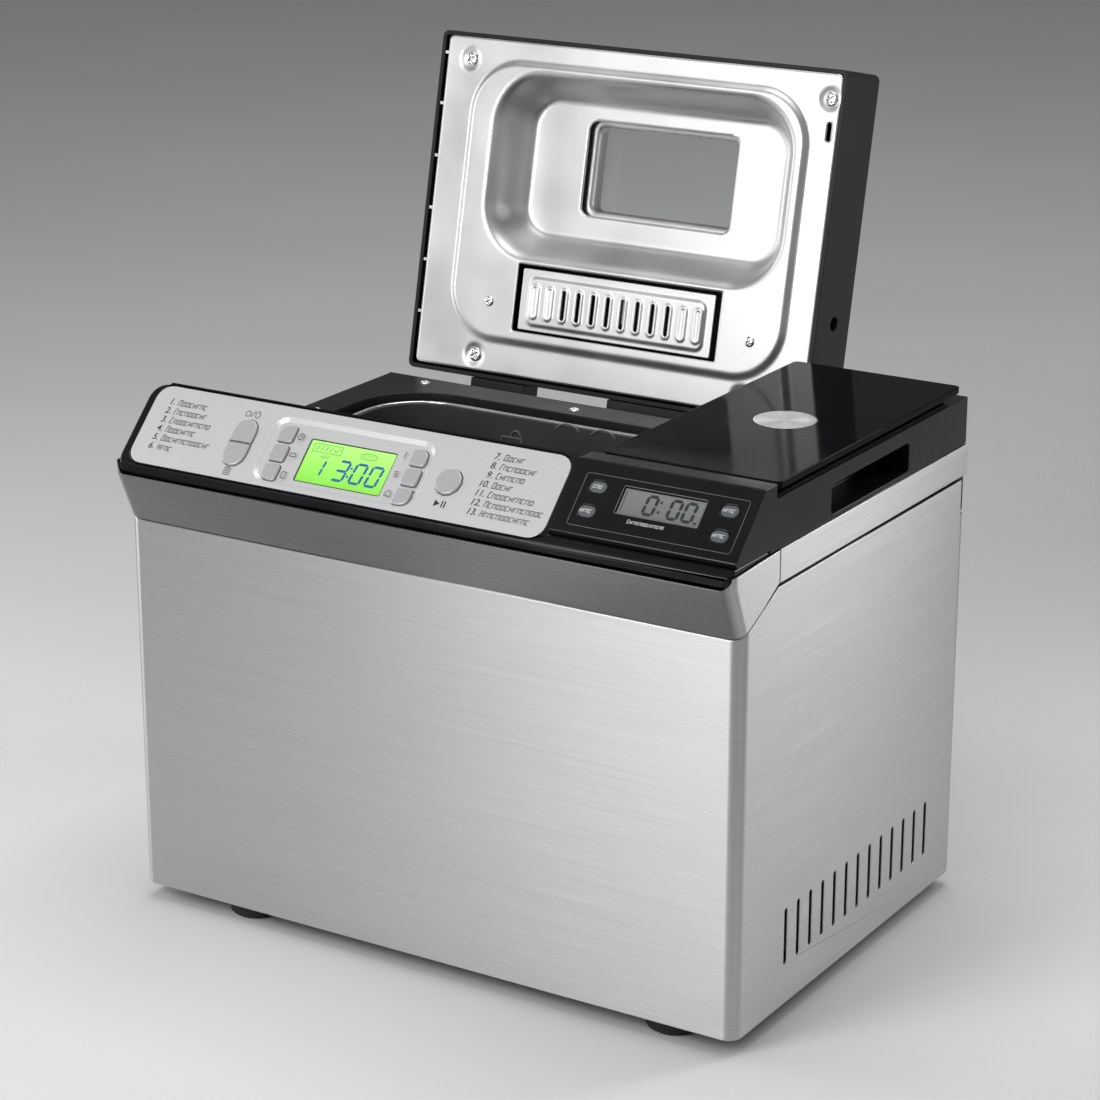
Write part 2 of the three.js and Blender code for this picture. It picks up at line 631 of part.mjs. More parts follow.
function makeLiner() {
  const rim = { x: liner.x, y: liner.y, corner: 2.5 };
  const z = liner.z;
  const flat = loft([section(rim, 0, z), section(rim, 0, z + sheet)], 3);
  const stepOut = loft([section(plateau, -2, z - linerStep), section(plateau, 0, z),
    section(plateau, 0, z + sheet)]);
  const stepIn = loft([section(plateau, -2 - sheet, z - linerStep + sheet),
    section(plateau, -sheet, z + sheet), section(plateau, -sheet, z + 5)]);
  const domeTop = z - linerStep + recess.depth;
  const domeOut = loft([section(recess, sheet, z - linerStep),
    section(recess, sheet - recess.inset, domeTop + sheet)]);
  const domeIn = loft([section(recess, 1, z - linerStep - 2.4), section(recess, -recess.inset, domeTop)]);
  const windowHole = upright(rounded(lidWindow.x, lidWindow.y, lidWindow.corner, 4), [z, z + 60]);
  const flapCut = upright(rounded(flapHole.x, flapHole.y, 0.8, 2), [z - 10, z + 10]);
  const slot = upright(rounded(grow([liner.x[1] - 5.2, liner.x[1] - 5.2], 1.4),
    [liner.y[0] + 25, liner.y[0] + 35], 1.3, 3), [z - 5, z + 5]);
  const ears = [flapHole.x[0], flapHole.x[1] - 1].map((x) =>
    block([x - 2, x + 3], [flapPin.y - 2.4, flapHole.y[1] + 1.5],
      [liner.z - linerStep + 0.2, flapPin.z + 3]));
  const earHoles = bar('x', flapPin.radius + gap, grow(flapHole.x, 5), [flapPin.y, flapPin.z], 12);
  const pressed = cut(join(flat, stepOut), stepIn);
  const domed = cut(join(pressed, domeOut), domeIn, flapCut);
  addToLid('lid_liner', cut(join(domed, ...ears), windowHole, slot, earHoles), finish.brightSteel);
}

function makeLidGlass() {
  const top = lid.z[1] - 2.2 + gap;
  const outline = rounded(grow(lidWindow.x, 8 - gap), grow(lidWindow.y, 8 - gap), 5.7, 4);
  const pane = upright(outline, [top, lid.z[1]]);
  addToLid('lid_window', pane, finish.clear);
}

// Perforated flap over the steam outlet. It turns on the pins at its hinge-side edge.
function makeFlap() {
  const z = liner.z - linerStep;
  const x = [flapHole.x[0] + 3.6, flapHole.x[1] - 3.6];
  const plate = upright(rounded(x, [flapHole.y[0] + 2, flapPin.y + 2.6], 1, 2), [z, z + sheet]);
  const knuckle = bar('x', flapPin.radius, grow(flapHole.x, -0.6), [flapPin.y, flapPin.z], 12);
  const web = block(grow(x, -1), [flapPin.y - 1, flapPin.y + 1], [z + 0.6, flapPin.z]);
  const slots = spread(x[0] + 27, x[1] - 27, 8).map((sx) =>
    upright(rounded(grow([sx, sx], 1.3), [flapHole.y[0] + 9.5, flapHole.y[1] - 9], 1.25, 3),
      [z - 5, z + 10]));
  addToLid('steam_flap', cut(join(plate, web, knuckle), ...slots), finish.brightSteel);
}

function makeArms() {
  const zTop = lid.z[0] + 16;
  for (const arm of arms) {
    const eye = bar('x', bossRadius, arm.x, [hinge.y, hinge.z], 20);
    const legAndHead = [[hinge.y - 1.4, hinge.z - 2], [hinge.y + 5, hinge.z - 1], [hinge.y + 5, zTop],
      [lid.y[1] + gap, zTop], [lid.y[1] + gap, lid.z[0] + 0.8], [hinge.y - 1.4, lid.z[0] + 0.8]];
    const hole = bar('x', pinRadius + gap, grow(arm.x, 5), [hinge.y, hinge.z], 16);
    addToLid(`hinge_arm_${arm.name}`, cut(join(eye, alongX(legAndHead, arm.x)), hole), finish.black);
  }
}

// ---------------------------------------------------------------- chassis, oven and drive
function makeChassis() {
  const plate = block(grow(basePan.x, -5), grow(basePan.y, -5), chassisZ);
  const shaftHole = bar('z', 21, [0, 60], [centre.x, centre.y], 28);
  const motorHole = bar('z', 14, [0, 60], [motor.x, motor.y], 24);
  const corners = [[oven.x[0] + 25, oven.y[0] + 25], [oven.x[1] - 25, oven.y[0] + 25],
    [oven.x[0] + 25, oven.y[1] - 25], [oven.x[1] - 25, oven.y[1] - 25]];
  const posts = corners.map((at) =>
    bar('z', 5, [basePan.z[0] + plastic + 0.5 + gap, chamberFloor - gap], at, 12));
  add('chassis', cut(join(plate, ...posts), shaftHole, motorHole), finish.galvanised);
}

const socketRadius = 43.2;
const elementZ = 58;
const elementRadius = 3.3;
const probe = { z: 150, radius: 2.5, y: centre.y + 40 };
const terminalGap = 14;

function makeOven() {
  const wall = (margin, z) => section({ ...oven, corner: opening.corner + chamberGap }, margin, z);
  const top = deckHeight - deckThickness - gap;
  const body = loft([wall(sheet, chamberFloor), wall(sheet, top), wall(0, top),
    wall(0, chamberFloor + sheet)], 5);
  const floorTop = chamberFloor + sheet;
  const socket = cut(bar('z', socketRadius + 2.8, [chamberFloor, floorTop + 14], [centre.x, centre.y], 28),
    bar('z', socketRadius, [0, 90], [centre.x, centre.y], 28));
  const shaftHole = bar('z', 9.5, [0, 60], [centre.x, centre.y], 24);
  const elementHoles = [-terminalGap, terminalGap].map((dy) =>
    bar('x', elementRadius + 2 * gap, [oven.x[1] - 5, oven.x[1] + 5], [centre.y + dy, elementZ], 12));
  const probeHole = bar('x', probe.radius + gap, [oven.x[1] - 5, oven.x[1] + 5], [probe.y, probe.z], 12);
  add('oven_chamber', cut(join(body, socket), shaftHole, ...elementHoles, probeHole), finish.galvanised);
}

function makeElement() {
  const loop = { x: grow(oven.x, -14), y: grow(oven.y, -14) };
  const bend = 26;
  const arc = (cx, cy, from) => spread(from, from + Math.PI / 2, 4).map((a) =>
    [cx + bend * Math.cos(a), cy + bend * Math.sin(a), elementZ]);
  const [x0, x1] = loop.x;
  const [y0, y1] = loop.y;
  const out = oven.x[1] + 12;
  const points = [
    [out, centre.y + terminalGap, elementZ], [oven.x[1], centre.y + terminalGap, elementZ],
    [x1 + 7, centre.y + terminalGap, elementZ], [x1, centre.y + terminalGap + 8, elementZ],
    ...arc(x1 - bend, y1 - bend, 0), ...arc(x0 + bend, y1 - bend, Math.PI / 2),
    ...arc(x0 + bend, y0 + bend, Math.PI), ...arc(x1 - bend, y0 + bend, Math.PI * 1.5),
    [x1, centre.y - terminalGap - 8, elementZ], [x1 + 7, centre.y - terminalGap, elementZ],
    [oven.x[1], centre.y - terminalGap, elementZ], [out, centre.y - terminalGap, elementZ],
  ];
  add('heating_element', tube(points, elementRadius, 48), finish.galvanised);
}

function makeProbe() {
  const rod = bar('x', probe.radius, [oven.x[1] - 6, oven.x[1] + 10], [probe.y, probe.z], 12);
  const head = bar('x', 5, [oven.x[1] + sheet + gap, oven.x[1] + sheet + gap + 5], [probe.y, probe.z], 6);
  add('temperature_probe', join(rod, head), finish.brightSteel);
}

function makeDrive() {
  const at = [centre.x, centre.y];
  const bore = shaftRadius + gap;
  const pulley = (radius, hub, hole) => [
    [hole, beltZ[0] - 1], [radius + 1.6, beltZ[0] - 1], [radius, beltZ[0]], [radius, beltZ[1]],
    [radius + 1.6, beltZ[1] + 1], [hub, beltZ[1] + 1], [hub, beltZ[1] + 2.4], [hole, beltZ[1] + 2.4],
    [hole, beltZ[0] - 1],
  ];
  add('drive_pulley', turned(pulley(bigPulleyRadius, 10, bore), at, 28), finish.black);
  add('drive_shaft', bar('z', shaftRadius, [13, 57], at, 16), finish.brightSteel);
  const bearing = [[bore, chassisZ[0] - 1], [9, chassisZ[0] - 1], [9, chamberFloor - 4], [20, chamberFloor - 4],
    [20, chamberFloor - gap], [9, chamberFloor - gap], [9, 50], [bore, 50], [bore, chassisZ[0] - 1]];
  add('shaft_bearing', turned(bearing, at, 24), finish.galvanised);
  const disc = turned([[bore, 51], [13, 51], [13, 55], [bore, 55], [bore, 51]], at, 24);
  const lugs = [-1, 1].map((side) => block(grow([centre.x + side * 9.5, centre.x + side * 9.5], 2.5),
    grow([centre.y, centre.y], 3), [54, 63]));
  add('drive_coupler', join(disc, ...lugs), finish.brightSteel);
  const motorShaft = bar('z', shaftRadius, [13, motor.z[0] + 20], [motor.x, motor.y], 16);
  const smallPulley = turned([[0, beltZ[0] - 1], [smallPulleyRadius + 1.6, beltZ[0] - 1],
    [smallPulleyRadius, beltZ[0]], [smallPulleyRadius, beltZ[1]], [smallPulleyRadius + 1.6, beltZ[1] + 1],
    [0, beltZ[1] + 1]], [motor.x, motor.y], 24);
  add('motor_pulley', join(smallPulley, motorShaft), finish.brightSteel);
}

// The belt's path is two straight runs and two arcs, the same distance out all round.
function beltOutline(offset) {
  const lean = Math.acos((bigPulleyRadius - smallPulleyRadius) / (motor.x - centre.x));
  const arc = (x, radius, from, to, count) => spread(from, to, count).map((angle) =>
    [x + (radius + offset) * Math.cos(angle), centre.y + (radius + offset) * Math.sin(angle)]);
  return outlineOf([
    ...arc(centre.x, bigPulleyRadius, lean, Math.PI * 2 - lean, 22),
    ...arc(motor.x, smallPulleyRadius, -lean, lean, 12),
  ]);
}

function makeBelt() {
  const belt = beltOutline(gap + beltThickness);
  belt.holes.push(beltOutline(gap));
  add('drive_belt', upright(belt, grow(beltZ, -gap)), finish.rubber);
}

function makeMotor() {
  const { half, z } = motor;
  const stack = upright(rounded(grow([motor.x, motor.x], half), grow([motor.y, motor.y], half), 6, 3), z);
  const windings = bar('z', half - 6, [z[0] - 6, z[1] + 8], [motor.x, motor.y], 24);
  const bore = bar('z', shaftRadius + gap, [0, z[0] + 21], [motor.x, motor.y], 16);
  const stilts = [[-1, -1], [1, -1], [-1, 1], [1, 1]].map(([sx, sy]) =>
    bar('z', 3, [chassisZ[1] + gap, z[0] + 1], [motor.x + sx * (half - 6), motor.y + sy * (half - 6)], 8));
  add('motor', cut(join(stack, windings, ...stilts), bore), finish.galvanised);
}

function makePowerBoard() {
  const x = [divider - 2, right - 12];
  const y = [back - 70, back - 12];
  const z = chassisZ[1] + 8;
  const board = block(x, y, [z, z + 1.6]);
  const transformer = block([x[0] + 8, x[0] + 38], [y[0] + 8, y[0] + 36], [z + 1, z + 28]);
  const capacitor = bar('z', 11, [z + 1, z + 34], [x[1] - 22, y[0] + 22], 16);
  const legs = [[x[0] + 5, y[0] + 5], [x[1] - 5, y[0] + 5], [x[0] + 5, y[1] - 5], [x[1] - 5, y[1] - 5]]
    .map((at) => bar('z', 2.5, [chassisZ[1] + gap, z + 0.5], at, 8));
  add('power_board', join(board, transformer, capacitor, ...legs), finish.board);
}

// ---------------------------------------------------------------- pan, paddle and handle
const panTaper = 9;
const panLip = 3;

function makePan() {
  const lip = panLip;
  const rim = panRimHeight;
  const body = loft([
    section(pan, -lip - panTaper, panFloor), section(pan, -lip, rim - lip), section(pan, 0, rim - lip),
    section(pan, 0, rim), section(pan, -lip - panWall, rim),
    section(pan, -lip - panWall - panTaper, panFloor + panWall),
  ], 6);
  const at = [centre.x, centre.y];
  const collar = cut(bar('z', socketRadius - 1.2, [panFloor - 26, panFloor + 0.5], at, 28),
    bar('z', socketRadius - 3.2, [0, panFloor], at, 28));
  const hub = bar('z', 10, [panFloor - 2.5, panFloor + 7], at, 24);
  const bore = bar('z', 5 + gap, [0, 120], at, 20);
  const bailHoles = bar('x', bailRadius + gap, grow(pan.x, 5), [centre.y, bailHeight], 12);
  add('bread_pan', cut(join(body, collar, hub), bore, bailHoles), finish.nonStick);
}

function makePanShaft() {
  const at = [centre.x, centre.y];
  const wingZ = [56, 63];
  const rod = bar('z', 5, [wingZ[0] + 1, panFloor + 24], at, 20);
  const wing = block(grow([centre.x, centre.x], 2.5), grow([centre.y, centre.y], 13),
    [wingZ[0] + 1.5, wingZ[1]]);
  add('pan_shaft', join(rod, wing), finish.brightSteel);
}

function makePaddle() {
  const z = panFloor + 7 + gap;
  const hub = turned([[5 + gap, z], [10, z], [8.5, z + 18], [5 + gap, z + 18], [5 + gap, z]],
    [centre.x, centre.y], 24);
  const blade = alongX([[centre.y - 3, z + 0.5], [centre.y + 3, z + 0.5], [centre.y + 1.5, z + 26],
    [centre.y - 1.5, z + 26]], [centre.x + 7.5, centre.x + 48]);
  add('kneading_paddle', join(hub, blade), finish.nonStick);
}

// A wire bail in holes near the pan's rim, folded forward.
function makeBail() {
  const inside = panLip + panWall + 7;
  const bend = pan.corner - inside;
  const [x0, x1] = grow(pan.x, -inside);
  const y = centre.y;
  const far = pan.y[0] + inside + 2;
  const z = bailHeight;
  const half = [
    [pan.x[0] + 1, y, z], [x0 - 3.5, y, z], [x0, y - 3.5, z],
    ...spread(Math.PI, Math.PI * 1.5, 5).map((angle) =>
      [x0 + bend + bend * Math.cos(angle), far + bend + bend * Math.sin(angle), z]),
  ];
  const mirrored = half.map(([px, py, pz]) => [x0 + x1 - px, py, pz]).reverse();
  add('pan_handle', tube([...half, ...mirrored], bailRadius, 44), finish.brightSteel);
}

// ---------------------------------------------------------------- scale
const panelLift = 2.5;
const scaleFrontEdge = slopePoint(10, panelLift);
const scaleSlopeTop = slopePoint(48, panelLift);
const scaleDisplay = { x: [divider + 29.4, divider + 72], s: [24.5, 38.2] };
const ovalKeys = [
  ['scale_key_zero', divider + 16.2, 35.4], ['scale_key_power', divider + 15.6, 22.4],
  ['scale_key_hold', divider + 84.9, 35.2], ['scale_key_unit', divider + 84.8, 22.1],
].map(([name, x, s]) => ({
  name, x: [x - 4.6, x + 4.6], s: [s - 3, s + 3], corner: Array(4).fill(2.9), top: panelLift + 0.5,
  finish: finish.grey,
}));

function makeScaleHousing() {
  const skirt = hingeZoneBottom + 1;
  const low = slopePoint(8.3, -plateSink)[1] + gap;
  const ledgeTop = wingTop + 0.1 + gap;
  const stepY = glass.y[0] - 2.6;
  const upper = [[scaleFrontEdge[0] + 2, low], scaleFrontEdge, scaleSlopeTop,
    [scaleSlopeTop[0] + 0.7, scaleTop], [stepY, scaleTop], [stepY, scaleBodyTop],
    [scale.y[1], scaleBodyTop], [scale.y[1], ledgeTop],
    [scale.y[0] + 1, ledgeTop], [scale.y[0] + 1, low]];
  const inner = [[scaleFrontEdge[0] + 5.5, low - 5], slopePoint(14.5, panelLift - plastic),
    slopePoint(46.5, panelLift - plastic), [stepY - plastic, slopePoint(46.5, panelLift - plastic)[1]],
    [stepY - plastic, scaleBodyTop - plastic], [scale.y[1] - plastic, scaleBodyTop - plastic],
    [scale.y[1] - plastic, low - 5]];
  const lower = block([scale.x[0], housingX[1]], [ridge.y + gap, scale.y[1]], [skirt, ledgeTop + 1]);
  const lowerHollow = block([scale.x[0] + plastic, housingX[1] - plastic],
    [ridge.y + gap + plastic, scale.y[1] - plastic], [skirt - 1, ledgeTop + 3]);
  const pocketX = [right - 20, scale.x[1] + 1];
  const pocketBody = block([pocketX[0] - plastic, scale.x[1] - 1], grow(gripHole.y, plastic),
    grow(gripHole.z, 1.6));
  const pocket = alongX(rounded(gripHole.y, gripHole.z, 2, 3), pocketX);
  const shelf = block([scale.x[0] + 1, loadCell.x + loadCell.size + 2],
    [middleOf(glass.y) - 42, middleOf(glass.y) - 24], [loadCell.z - 6, loadCell.z - gap]);
  const postHole = bar('z', 8, [scaleBodyTop - 5, scaleBodyTop + 5], [postSpot.x, postSpot.y], 20);
  const keyHoles = ovalKeys.map((key) => onSlope(upright(keyOutline(key, keyClearance), [-4, 6])));
  const displayHole = onSlope(block(scaleDisplay.x, scaleDisplay.s, [-4, 6]));
  const hollowed = cut(join(alongX(upper, scale.x), lower),
    alongX(inner, [scale.x[0] + plastic, scale.x[1] - plastic]), lowerHollow);
  add('scale_housing', cut(join(hollowed, pocketBody, shelf), pocket, postHole, displayHole, ...keyHoles),
    finish.black);
}

const postSpot = { x: loadCell.x + loadCell.size / 2, y: middleOf(glass.y) + 33 };

function makeScaleDisplay() {
  const under = panelLift - plastic - gap;
  const bodyBox = block(grow(scaleDisplay.x, 2), grow(scaleDisplay.s, 2), [under - 3, under]);
  const face = block(grow(scaleDisplay.x, -gap), grow(scaleDisplay.s, -gap), [under - 1, panelLift - 0.8]);
  add('scale_display', join(bodyBox, face), finish.grey, slope);
}

function makeScalePlatform() {
  const z = [scaleTop - glassThickness, scaleTop];
  const discRadius = 15.5;
  const spot = [middleOf(glass.x) + 0.5, middleOf(glass.y) - 4.2];
  const discHole = bar('z', discRadius + gap, [z[1] - 1, z[1] + 5], spot, 36);
  add('scale_glass', cut(upright(rounded(glass.x, glass.y, 3, 3), z), discHole), finish.gloss);
  add('scale_disc', bar('z', discRadius, [z[1] - 1 + gap, z[1]], spot, 36), finish.brightSteel);
  const plate = upright(rounded(grow(glass.x, -tray.inset), grow(glass.y, -tray.inset), 3, 3), tray.z);
  const postZ = [loadCell.z + loadCell.size + platformGap, tray.z[0] + 1];
  const post = bar('z', 6, postZ, [postSpot.x, postSpot.y], 20);
  add('scale_tray', join(plate, post), finish.black);
}

function makeLoadCell() {
  const { x, size, length, z } = loadCell;
  const y = middleOf(glass.y);
  const beam = block([x, x + size], grow([y, y], length / 2), [z, z + size]);
  const waist = [-6, 6].map((dy) => bar('x', 4, [x - 1, x + size + 1], [y + dy, z + size / 2], 16));
  add('load_cell', cut(beam, ...waist), finish.brightSteel);
}

// ---------------------------------------------------------------- assembly
makeBase();
makeFeet();
makeWrap();
makeBand();
makeSideTrim();
makeBack();
makeInlet();
makeControlHousing();
makeControlPlate();
makeDisplay();
keys.forEach((key) => makeKeyCap(key));
makeControlBoard();
makeDeck();
makeHingePins();
makeLidShell();
makeLiner();
makeLidGlass();
makeFlap();
makeArms();
makeChassis();
makeOven();
makeElement();
makeProbe();
makeDrive();
makeBelt();
makeMotor();
makePowerBoard();
makePan();
makePanShaft();
makePaddle();
makeBail();
makeScaleHousing();
makeScaleDisplay();
ovalKeys.forEach((key) => makeKeyCap(key));
makeScalePlatform();
makeLoadCell();

// The origin is on the floor, under the middle of the machine with its lid open.
const object = new THREE.Group();
object.add(machine);
machine.updateMatrixWorld(true);
const bounds = new THREE.Box3().setFromObject(machine, true);
machine.position.set(-middleOf([bounds.min.x, bounds.max.x]), -middleOf([bounds.min.y, bounds.max.y]),
  -bounds.min.z);

export default object;
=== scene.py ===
# %% [markdown]
# A bread machine with a kitchen scale built into its top. The solid parts arrive as a fixed
# frame, in metres, and this lesson dresses them: every visible part gets rounded edges, the
# pressed sheet parts are modelled again as real pressings, and small things such as screws,
# printed marks and display digits are added where the frame says they belong.

# %% Load the frame
import bpy
import bmesh
import json
import math
import numpy as np
from mathutils import Matrix, Vector


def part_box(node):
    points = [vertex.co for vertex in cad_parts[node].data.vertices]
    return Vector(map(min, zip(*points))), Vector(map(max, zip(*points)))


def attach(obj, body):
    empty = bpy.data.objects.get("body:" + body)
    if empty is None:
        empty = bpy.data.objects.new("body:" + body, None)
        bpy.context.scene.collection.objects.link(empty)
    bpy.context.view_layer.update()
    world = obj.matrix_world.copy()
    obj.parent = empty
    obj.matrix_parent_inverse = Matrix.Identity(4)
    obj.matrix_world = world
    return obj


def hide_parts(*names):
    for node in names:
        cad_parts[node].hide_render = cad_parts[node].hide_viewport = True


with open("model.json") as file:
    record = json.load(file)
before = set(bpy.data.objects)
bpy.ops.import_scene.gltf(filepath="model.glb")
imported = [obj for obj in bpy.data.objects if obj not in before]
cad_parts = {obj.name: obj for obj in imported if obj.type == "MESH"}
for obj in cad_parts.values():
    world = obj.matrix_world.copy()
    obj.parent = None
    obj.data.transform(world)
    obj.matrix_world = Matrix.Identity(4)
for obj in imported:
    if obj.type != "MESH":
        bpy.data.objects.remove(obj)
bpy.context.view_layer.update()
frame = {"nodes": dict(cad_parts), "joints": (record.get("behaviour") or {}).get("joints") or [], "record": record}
nodes = frame["nodes"]
record = frame["record"]
MM = 0.001
body_of_node = {n: body for body, names in record["behaviour"]["bodies"].items() for n in names}
slot_of_node = {part["node"]: part["material_slot"] for part in record["subparts"]}


# %% [markdown]
# A finish is a shader with some variation in it. Real surfaces are never one flat colour: paint
# has fine grain, moulded plastic has a leathery skin, and brushed metal has lines. One way is to
# paint an image. Here each finish reads noise at a real size from the object's own coordinates,
# so it needs no unwrapping and never repeats. A noise of scale 1000 has features about 1 mm wide.

# %% A shader with noise in its colour, roughness and bump
def start_finish(name, roughness=0.5, metallic=0.0):
    material = bpy.data.materials.new(name)
    material.use_nodes = True
    tree = material.node_tree
    shader = tree.nodes["Principled BSDF"]
    shader.inputs["Metallic"].default_value = metallic
    shader.inputs["Roughness"].default_value = roughness
    return material, tree, shader


def noise_field(tree, scale, detail=4.0):
    place = tree.nodes.new("ShaderNodeTexCoord")
    stretch = tree.nodes.new("ShaderNodeMapping")
    stretch.inputs["Scale"].default_value = scale
    noise = tree.nodes.new("ShaderNodeTexNoise")
    noise.inputs["Scale"].default_value = 1.0
    noise.inputs["Detail"].default_value = detail
    tree.links.new(place.outputs["Object"], stretch.inputs["Vector"])
    tree.links.new(stretch.outputs["Vector"], noise.inputs["Vector"])
    return noise.outputs["Fac"]


def tint_by(tree, shader, field, dark, light, low=0.35, high=0.65):
    ramp = tree.nodes.new("ShaderNodeValToRGB")
    ramp.color_ramp.elements[0].position = low
    ramp.color_ramp.elements[1].position = high
    ramp.color_ramp.elements[0].color = (*dark, 1)
    ramp.color_ramp.elements[1].color = (*light, 1)
    tree.links.new(field, ramp.inputs["Fac"])
    tree.links.new(ramp.outputs["Color"], shader.inputs["Base Color"])
    return ramp


def roughen_by(tree, shader, field, low, high):
    spread = tree.nodes.new("ShaderNodeMapRange")
    spread.inputs["From Min"].default_value = 0.3
    spread.inputs["From Max"].default_value = 0.7
    spread.inputs["To Min"].default_value = low
    spread.inputs["To Max"].default_value = high
    tree.links.new(field, spread.inputs["Value"])
    tree.links.new(spread.outputs["Result"], shader.inputs["Roughness"])


def bump_by(tree, shader, field, strength, height_mm):
    bump = tree.nodes.new("ShaderNodeBump")
    bump.inputs["Strength"].default_value = strength
    bump.inputs["Distance"].default_value = height_mm * MM
    tree.links.new(field, bump.inputs["Height"])
    tree.links.new(bump.outputs["Normal"], shader.inputs["Normal"])


def shades(colour, spread):
    """A darker and a lighter version of one colour."""
    return [tuple(max(0.0, c * (1 + k)) for c in colour) for k in (-spread, spread)]


# %% [markdown]
# The case is stainless steel, brushed along its length before it was folded. The lines run level
# on the front and on the sides, so the noise is stretched 150 times along X and Y and kept tight
# along Z. Broad, faint bands under the fine lines keep it from looking like a pattern.
# Light spreads far across brush lines and little along them, so the shine is given a direction:
# a tangent that runs level round the case, turned a quarter so that highlights stretch upright.
# The band over the front leans outwards and mirrors something dark there, while its wings stay
# bright. A dark panel in the room would do that. Here it is painted instead, by the way each face
# looks, so it is the same from every side, which the reflection on real steel wouldn't be.

# %% Steel finishes
def brushed_steel(name, colour, roughness=0.42, along=(16, 16, 2400)):
    material, tree, shader = start_finish(name, roughness, 1.0)
    level = tree.nodes.new("ShaderNodeTangent")
    level.direction_type = "RADIAL"
    level.axis = "Z"
    tree.links.new(level.outputs["Tangent"], shader.inputs["Tangent"])
    shader.inputs["Anisotropic"].default_value = 0.85
    shader.inputs["Anisotropic Rotation"].default_value = 0.25
    lines = noise_field(tree, along, 3.0)
    bands = noise_field(tree, [s * 0.4 for s in along], 2.0)
    both = tree.nodes.new("ShaderNodeMath")
    both.operation = "MULTIPLY_ADD"
    both.inputs[1].default_value = 0.6
    tree.links.new(lines, both.inputs[0])
    weak = tree.nodes.new("ShaderNodeMath")
    weak.operation = "MULTIPLY"
    weak.inputs[1].default_value = 0.4
    tree.links.new(bands, weak.inputs[0])
    tree.links.new(weak.outputs[0], both.inputs[2])
    tint_by(tree, shader, both.outputs[0], *shades(colour, 0.065))
    roughen_by(tree, shader, both.outputs[0], roughness - 0.04, roughness + 0.06)
    bump_by(tree, shader, lines, 0.12, 0.012)
    return material


def darken_front(material, share):
    """Darkens every face that doesn't look sideways, and fades to full colour round the corners."""
    tree = material.node_tree
    shader = tree.nodes["Principled BSDF"]
    colour = shader.inputs["Base Color"].links[0].from_socket
    surface = tree.nodes.new("ShaderNodeNewGeometry")
    axes = tree.nodes.new("ShaderNodeSeparateXYZ")
    sideways = tree.nodes.new("ShaderNodeMath")
    sideways.operation = "ABSOLUTE"
    fade = tree.nodes.new("ShaderNodeMapRange")
    fade.inputs["From Min"].default_value = 0.3
    fade.inputs["From Max"].default_value = 0.85
    fade.inputs["To Min"].default_value = share
    scaled = tree.nodes.new("ShaderNodeVectorMath")
    scaled.operation = "SCALE"
    tree.links.new(surface.outputs["Normal"], axes.inputs[0])
    tree.links.new(axes.outputs["X"], sideways.inputs[0])
    tree.links.new(sideways.outputs[0], fade.inputs["Value"])
    tree.links.new(colour, scaled.inputs[0])
    tree.links.new(fade.outputs["Result"], scaled.inputs["Scale"])
    tree.links.new(scaled.outputs["Vector"], shader.inputs["Base Color"])
    return material


def plain_metal(name, colour, roughness, grain=700, spread=0.05, bump=0.06):
    material, tree, shader = start_finish(name, roughness, 1.0)
    grain_field = noise_field(tree, (grain, grain, grain))
    cloud = noise_field(tree, (24, 24, 24), 2.0)
    tint_by(tree, shader, cloud, *shades(colour, spread))
    roughen_by(tree, shader, cloud, roughness - 0.04, roughness + 0.06)
    bump_by(tree, shader, grain_field, bump, 0.02)
    return material


case_steel = brushed_steel("case_steel", (0.56, 0.56, 0.565))
band_steel = brushed_steel("band_steel", (0.56, 0.56, 0.565), 0.4, (16, 1200, 1200))
darken_front(band_steel, 0.36)
liner_metal = plain_metal("liner_metal", (0.66, 0.66, 0.66), 0.42)
bright_metal = plain_metal("bright_metal", (0.8, 0.8, 0.8), 0.2, 1500)
zinc_sheet = plain_metal("zinc_sheet", (0.42, 0.43, 0.43), 0.45, 90, 0.2)
alloy = plain_metal("alloy", (0.62, 0.62, 0.63), 0.4)
print("metals:", [m.name for m in (case_steel, band_steel, liner_metal, bright_metal, zinc_sheet, alloy)])


# %% [markdown]
# The black parts are moulded in ABS. Most have a fine spark-eroded skin that spreads the light.
# The scale's top is toughened glass painted black on its underside, so it mirrors the room.
# Matt black looks grey when it mirrors too much, so each finish says how strongly it reflects.

# %% Plastic, lacquer, rubber and glass finishes
def moulded_plastic(name, colour, roughness, grain=1300, bump=0.12, gloss=0.3):
    material, tree, shader = start_finish(name, roughness)
    skin = noise_field(tree, (grain, grain, grain), 2.0)
    cloud = noise_field(tree, (30, 30, 30), 2.0)
    tint_by(tree, shader, cloud, *shades(colour, 0.07))
    roughen_by(tree, shader, cloud, roughness - 0.04, roughness + 0.05)
    bump_by(tree, shader, skin, bump, 0.03)
    shader.inputs["Specular IOR Level"].default_value = gloss
    return material


def silver_lacquer(name, colour, roughness):
    material, tree, shader = start_finish(name, roughness, 0.35)
    flakes = noise_field(tree, (4200, 4200, 4200), 1.0)
    tint_by(tree, shader, flakes, *shades(colour, 0.05))
    bump_by(tree, shader, flakes, 0.05, 0.01)
    return material


